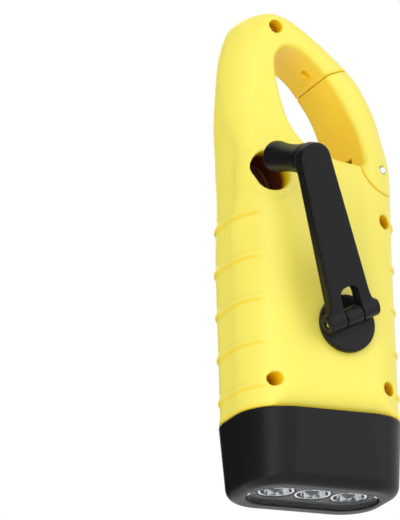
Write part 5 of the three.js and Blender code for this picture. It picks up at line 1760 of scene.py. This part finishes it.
@dataclass
class Crank(Part):
    """Hub, folding arm with its hinge, and the knob that turns on a rivet."""

    hub_step: float = 0.24
    arm_step: float = 0.25
    block: float = 9.2
    hub_depth: float = 8.6
    arm_depth: float = 3.3
    arm_foot: float = 3.4
    disc_radius: float = 8.4
    disc_thickness: float = 1.9
    disc_round: float = 0.6
    disc_foot_round: float = 0.2
    overlap: float = 0.5
    web_overlap: float = 0.4
    shaft: float = 3.2
    neck: float = 2.4
    shoulder: float = 3.2
    shaft_end: float = 5.6
    bore: float = 1.5
    bore_depth: float = 4.3
    hinge_height: float = 5.2
    hinge_offset: float = 1.2
    pin_radius: float = 0.9
    pin_gap: float = 0.12
    pin_short: float = 0.1
    pin_dome: float = 0.5
    knuckle: float = 2.6
    knuckle_span: float = 17.0
    knuckle_round: float = 0.35
    barrel_round: float = 0.5
    arm_fillet: float = 0.8
    tongue: float = 5.4
    root_width: float = 13.2
    flare_foot: float = 2.2
    flare_start: float = 0.8
    flare_top: float = 7.5
    reach: float = 45.8
    thickness: float = 4.2
    tip: float = 4.9
    edge: float = 0.75
    window: float = 8.6
    window_foot: float = 12.0
    slot_corner: float = 2.4
    slot_open: float = 2.0
    slot_edge: float = 0.3
    eye_floor: float = 1.0
    rivet: float = 1.6
    rivet_head: float = 3.0
    rivet_head_height: float = 0.8
    knob: float = 4.5
    knob_round: float = 1.2
    knob_band: float = 1.4
    waist_round: float = 2.5
    waist: float = 3.9
    knob_depth: float = 19.0

    def frames(self) -> tuple[Matrix, Matrix, Matrix]:
        """Places of the hub, the arm and the knob, from the joints of the row."""
        hub, _ = self.shop.joint("crank_spin")
        arm, across = self.shop.joint("arm_fold")
        knob, deep = self.shop.joint("knob_spin")

        def place(origin: Vector, depth: Vector) -> Matrix:
            """Local frame whose x lies along the hinge."""
            turn = Matrix((across, depth, across.cross(depth))).transposed().to_4x4()
            return Matrix.Translation(origin) @ turn

        face = Vector((hub.x, -self.form.half_depth, hub.z))
        return place(face, Vector((0, 1, 0))), place(arm, deep), place(knob, deep)

    def hub_piece(self, place: Matrix) -> None:
        """Builds the hub: disc, knuckle and shaft."""
        size = self.block
        grid = Grid((-size, -self.hub_depth, -size), (size, self.shaft_end + BLOCK_EDGE, size), self.hub_step)
        round_y = np.hypot(grid.x, grid.z)
        top, bottom = -SEAT_GAP - self.disc_thickness, -SEAT_GAP
        disc = meet(round_y - self.disc_radius, top - grid.y, self.disc_round)
        disc = meet(disc, grid.y - bottom, self.disc_foot_round)
        shaft = np.maximum(round_y - self.shaft, grid.y - self.shoulder)
        neck = np.maximum(round_y - self.neck, grid.y - self.shaft_end)
        stem = np.maximum(fuse(shaft, neck), top + self.overlap - grid.y)
        dy, dz = grid.y + self.hinge_height, grid.z - self.hinge_offset
        sides = np.abs(grid.x) - self.tongue / 2
        barrel = meet(np.hypot(dy, dz) - self.knuckle, sides, self.knuckle_round)
        web = meet(np.abs(dz) - self.knuckle, sides, self.knuckle_round)
        web = both(web, -dy, grid.y - top - self.web_overlap)
        hub = fuse(fuse(disc, fuse(barrel, web), self.overlap), stem)
        hub = carve(hub, np.hypot(dy, dz) - self.pin_radius - SEAT_GAP)
        hub = carve(hub, np.maximum(round_y - self.bore, self.shaft_end - self.bore_depth - grid.y))
        skin = net(grid, hub).moved(place)
        self.shop.piece("hub_disc", skin, "black", Body.CRANK, Slot.BLACK, ["crank_hub"])

    def arm_outline(self) -> list[Flat]:
        """Outline of the arm's blade about its hinge: flared root, long taper, round tip."""
        root, span = self.root_width / 2, self.knuckle_span / 2
        flare = (span, self.flare_foot * self.flare_start)
        right = [(span, 0.0), flare] + pulled(flare, (root, self.flare_foot), (root, self.flare_top), 8)
        turns = np.linspace(0, math.pi, 30)
        tip = [(self.tip * math.cos(a), self.reach + self.tip * math.sin(a)) for a in turns]
        return right + tip + [(-x, z) for x, z in right[::-1]]

    def arm_piece(self, place: Matrix) -> None:
        """Builds the arm: knuckles, slot over the hub's knuckle, blade and blind eye."""
        size, top = self.block, self.reach + self.tip + BLOCK_EDGE
        grid = Grid((-size, -self.arm_depth, -self.arm_foot), (size, self.arm_depth, top), self.arm_step)
        half = self.thickness / 2
        blade = meet(outline_distance(grid, self.arm_outline()), np.abs(grid.y) - half, self.edge)
        round_x, sides = np.hypot(grid.y, grid.z), np.abs(grid.x) - self.knuckle_span / 2
        arm = fuse(blade, meet(round_x - self.knuckle, sides, self.barrel_round), self.arm_fillet)
        slot_half = self.tongue / 2 + RUN_GAP
        middle, tall = (self.window - self.window_foot) / 2, (self.window + self.window_foot) / 2
        slot = rectangle_distance(grid.x, grid.z - middle, slot_half, tall, self.slot_corner)
        slot = np.where(grid.z < self.slot_open, np.abs(grid.x) - slot_half, slot)
        arm = carve(carve(arm, slot, self.slot_edge), round_x - self.pin_radius - self.pin_gap)
        eye = bar(grid, 0.0, self.reach, self.rivet + SEAT_GAP)
        arm = carve(arm, np.maximum(eye, self.eye_floor - half - grid.y))
        skin = net(grid, arm).moved(place)
        self.shop.piece("arm_blade", skin, "black", Body.ARM, Slot.BLACK, ["crank_arm"])

    def pin_piece(self, place: Matrix) -> None:
        """Builds the hinge's pin with its two domed ends."""
        reach, r = self.knuckle_span / 2 - self.pin_short, self.pin_radius
        turns = np.linspace(AXIS, math.pi / 2, 8)
        dome = [(r * math.sin(a), -reach + self.pin_dome * (1 - math.cos(a))) for a in turns]
        profile = dome + [(radius, -along) for radius, along in dome[::-1]]
        pin = lathe(profile, 28).moved(place @ Matrix.Rotation(math.radians(90), 4, "Y"))
        self.shop.piece("arm_hinge_pin", pin, "steel", Body.ARM, Slot.STEEL, ["hinge_pin"])

    def knob_pieces(self, place: Matrix) -> None:
        """Builds the turned knob and the rivet that carries it."""
        near, far = self.thickness / 2 + SEAT_GAP, self.knob_depth
        bore, seat = self.rivet + RUN_GAP, self.rivet_head + RUN_GAP
        third = (far - near) / 3
        floor = far - self.rivet_head_height - SEAT_GAP
        k, w = self.knob, self.waist
        profile = [
            (bore, near, 0.0),
            (k, near, self.knob_round),
            (k, near + self.knob_band, 1.0),
            (w, near + third, self.waist_round),
            (w, far - third, self.waist_round),
            (k, far - self.knob_band, 1.0),
            (k, far, self.knob_round),
            (seat, far, 0.2),
            (seat, floor, 0.0),
            (bore, floor, 0.0),
            (bore, near, 0.0),
        ]
        knob = lathe(softened(profile, 6), 56, 1).moved(place)
        self.shop.piece("turning_knob", knob, "black", Body.KNOB, Slot.BLACK, ["crank_knob"])
        r, h = self.rivet, self.rivet_head
        start, head = self.eye_floor + SEAT_GAP - self.thickness / 2, far - self.rivet_head_height
        profile = [(AXIS, start, 0.0), (r, start, 0.2), (r, head, 0.1), (h, head, 0.15), (h, far - 0.1, 0.3)]
        rivet = lathe(softened(profile + [(AXIS, far, 0.0)]), 36, 1).moved(place)
        self.shop.piece("knob_pin", rivet, "black", Body.ARM, Slot.BLACK, ["knob_rivet"])

    def build(self) -> None:
        """Builds the crank's pieces and dresses its hidden ones."""
        hub, arm, knob = self.frames()
        self.hub_piece(hub)
        self.arm_piece(arm)
        self.pin_piece(arm)
        self.knob_pieces(knob)
        self.shop.dress(["crank_gear", "hub_bush"], "nylon")
        self.shop.dress(["hub_screw"], "steel")


@dataclass
class PushButton(Part):
    """Round black button in the right side wall."""

    height: float = 37.0
    radius: float = 3.4
    proud: float = 1.1
    flange: float = 1.1
    flange_thickness: float = 0.9

    def build(self) -> None:
        """Builds the button's cap and dresses its switch."""
        side = float(self.form.edges(self.height)[1])
        out, crown = side - self.form.wall - SEAT_GAP, side + self.proud
        r, wide, back = self.radius, self.radius + self.flange, out - self.flange_thickness
        profile = [(AXIS, back, 0.0), (wide, back, 0.1), (wide, out, 0.1), (r, out, 0.1)]
        profile += [(r, crown - 0.35, 0.5), (r * 0.75, crown - 0.06, 0.6), (AXIS, crown, 0.0)]
        turn = Matrix.Translation((0, 0, self.height)) @ Matrix.Rotation(math.radians(90), 4, "Y")
        cap = lathe(softened(profile, 6), 48).moved(turn)
        self.shop.piece("button_cap", cap, "black", Body.BUTTON, Slot.BLACK, ["push_button"])
        self.shop.dress(["button_switch"], "black")


@dataclass
class Works(Part):
    """Gears, dynamo and electronics inside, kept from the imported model."""

    finishes: tuple[tuple[str, tuple[str, ...]], ...] = (
        ("nylon", ("gear_plate", "first_gear", "second_gear", "rotor")),
        ("steel", ("first_axle", "second_axle", "rotor_axle", "stator_yoke")),
        ("magnet", ("rotor_magnet",)),
        ("board", ("main_board",)),
    )
    # Nodes that are alike, by how their names start
    rows: tuple[tuple[str, str], ...] = (
        ("steel", "plate_screw_"),
        ("steel", "coin_cell_"),
        ("copper", "stator_coil_"),
    )

    def build(self) -> None:
        """Gives every hidden node its own finish."""
        for finish, nodes in self.finishes:
            self.shop.dress(nodes, finish)
        for finish, start in self.rows:
            self.shop.dress([name for name in self.shop.frame["nodes"] if name.startswith(start)], finish)


# Stage


@dataclass
class Stage:
    """Floor, lamps, world and camera."""

    shop: Workshop
    target: Point = (0.0, 0.0, 71.0)
    azimuth: float = -25.5
    elevation: float = -17.9
    roll: float = -2.2
    distance: float = 1300.0
    image: tuple[int, int] = (400, 520)
    focal: float = 4565.0
    centre: Flat = (303.4, 258.8)
    sensor: float = 36.0
    fill_strength: float = 0.75
    card_side: float = -0.42
    card_front: float = -0.25
    card_back: float = 1.0
    card_low: float = -0.3
    card_high: float = 0.9
    card_colour: tuple[float, ...] = (0.01, 0.01, 0.01, 1.0)
    floor_half: float = 3.0
    speck_colour: tuple[float, ...] = (0.9, 0.9, 0.9, 1.0)
    middle: Point = (0.0, 0.0, 0.07)
    # Name, place and size in metres, and watts
    lamps: tuple[tuple[str, Point, Flat, float], ...] = (
        ("key", (-0.7, -0.75, 0.35), (0.7, 0.8), 2.3),
        ("fill", (0.6, -0.75, 0.35), (0.8, 0.9), 2.1),
        ("low", (-0.65, -0.5, -0.25), (0.5, 0.4), 1.4),
        ("back", (0.2, 0.8, 0.6), (0.5, 0.5), 2.0),
    )

    def camera(self) -> None:
        """Puts the camera at the photograph's viewing angle."""

        def turned(a: Vector, b: Vector, angle: float) -> tuple[Vector, Vector]:
            """Two axes turned by an angle, the first one away from the second."""
            return a * math.cos(angle) - b * math.sin(angle), b * math.cos(angle) + a * math.sin(angle)

        az, el = math.radians(self.azimuth), math.radians(self.elevation)
        back = Vector((math.sin(az) * math.cos(el), -math.cos(az) * math.cos(el), math.sin(el)))
        right = (-back).cross(Vector((0, 0, 1))).normalized()
        up, right = turned(right.cross(-back), right, math.radians(self.roll))
        ahead, right = turned(-back, right, math.atan((self.centre[0] - self.image[0] / 2) / self.focal))
        ahead, up = turned(ahead, up, math.atan((self.image[1] / 2 - self.centre[1]) / self.focal))
        data = bpy.data.cameras.new("photo_camera")
        data.sensor_width = self.sensor
        data.lens = self.focal * self.sensor / self.image[1]
        data.clip_start, data.clip_end = 0.01, 20.0
        made = placed("photo_camera", data)
        spot = self.shop.place(Vector(self.target) + back * self.distance)
        made.matrix_world = Matrix.Translation(spot) @ Matrix((right, up, -ahead)).transposed().to_4x4()
        bpy.context.scene.camera = made

    def world(self) -> None:
        """White backdrop for the camera and for reflections, plain soft light for the rest."""
        world = bpy.data.worlds.new("studio")
        bpy.context.scene.world = world
        world.use_nodes = True
        world.node_tree.nodes.clear()
        wires = Wiring(world.node_tree)
        path = wires.add("LightPath").outputs
        mirrored = wires.math("MAXIMUM", path["Is Glossy Ray"], path["Is Transmission Ray"])
        seen = wires.math("MAXIMUM", path["Is Camera Ray"], mirrored)
        white = wires.add("Background", Color=WHITE, Strength=1.0)
        soft = wires.add("Background", Color=WHITE, Strength=self.fill_strength)
        wires.finish(seen, soft, white, "OutputWorld")

    def sheet(self, name: str, points: Sequence[Point], faces: Sequence[tuple[int, ...]]) -> Wiring:
        """Puts a sheet on the stage.

        Args:
            name: Name of the sheet and of its material.
            points: Its corners in metres.
            faces: Its faces.

        Returns:
            The wiring of its material, which has no nodes yet.
        """
        material, wires = fresh(name)
        mesh = bpy.data.meshes.new(name)
        mesh.from_pydata(points, [], faces)
        mesh.materials.append(material)
        placed(name, mesh)
        return wires

    def cloth(self, wires: Wiring, share: bpy.types.NodeSocket, colour) -> None:
        """Makes a sheet's material: cloth for a share of the rays, nothing at all for the others."""
        cloth = wires.add("BsdfDiffuse", Color=colour)
        wires.finish(share, wires.add("BsdfTransparent"), cloth, "OutputMaterial")

    def card(self) -> None:
        """Dark card behind the left side, which only reflections show."""
        left = self.card_side
        corners = [(left, self.card_front), (left, self.card_back), (-left / 4, self.card_back)]
        points = [(x, y, z) for x, y in corners for z in (self.card_low, self.card_high)]
        wires = self.sheet("dark_card", points, [(0, 1, 3, 2), (2, 3, 5, 4)])
        self.cloth(wires, wires.add("LightPath").outputs["Is Glossy Ray"], self.card_colour)

    def floor(self) -> None:
        """Pale floor that keeps the shadow, seen from above only."""
        half = self.floor_half
        points = [(-half, -half, 0), (half, -half, 0), (half, half, 0), (-half, half, 0)]
        wires = self.sheet("floor", points, [(0, 1, 2, 3)])
        path = wires.add("LightPath").outputs["Is Camera Ray"]
        behind = wires.add("NewGeometry").outputs["Backfacing"]
        speckle = wires.noise(wires.place(), 900.0, 2.0)
        pale = wires.mix(wires.times(speckle, 0.03), WHITE, self.speck_colour)
        self.cloth(wires, wires.times(path, wires.minus(1.0, behind)), pale)

    def build(self) -> None:
        """Sets the whole stage."""
        bpy.context.scene.view_settings.view_transform = "Standard"
        self.world()
        self.floor()
        for name, spot, size, watts in self.lamps:
            data = bpy.data.lights.new(name, "AREA")
            data.shape = "RECTANGLE"
            data.size, data.size_y = size
            data.energy = watts
            lamp = placed(name, data)
            lamp.location = spot
            lamp.rotation_euler = (Vector(self.middle) - Vector(spot)).to_track_quat("-Z", "Y").to_euler()
        self.card()
        self.camera()


def main() -> None:
    """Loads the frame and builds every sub-assembly in order."""
    logging.basicConfig(level=logging.INFO, format="%(message)s")
    for old in list(bpy.data.objects):
        bpy.data.objects.remove(old)
    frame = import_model()
    shop = Workshop(frame, Palette())
    for part in (Housing, Gate, Head, SolarPanel, Crank, PushButton, Works):
        part(shop).build()
        LOG.info("%s done", part.__name__)
    Stage(shop).build()
    LOG.info("%d pieces made", shop.count)


if __name__ == "__main__":
    main()
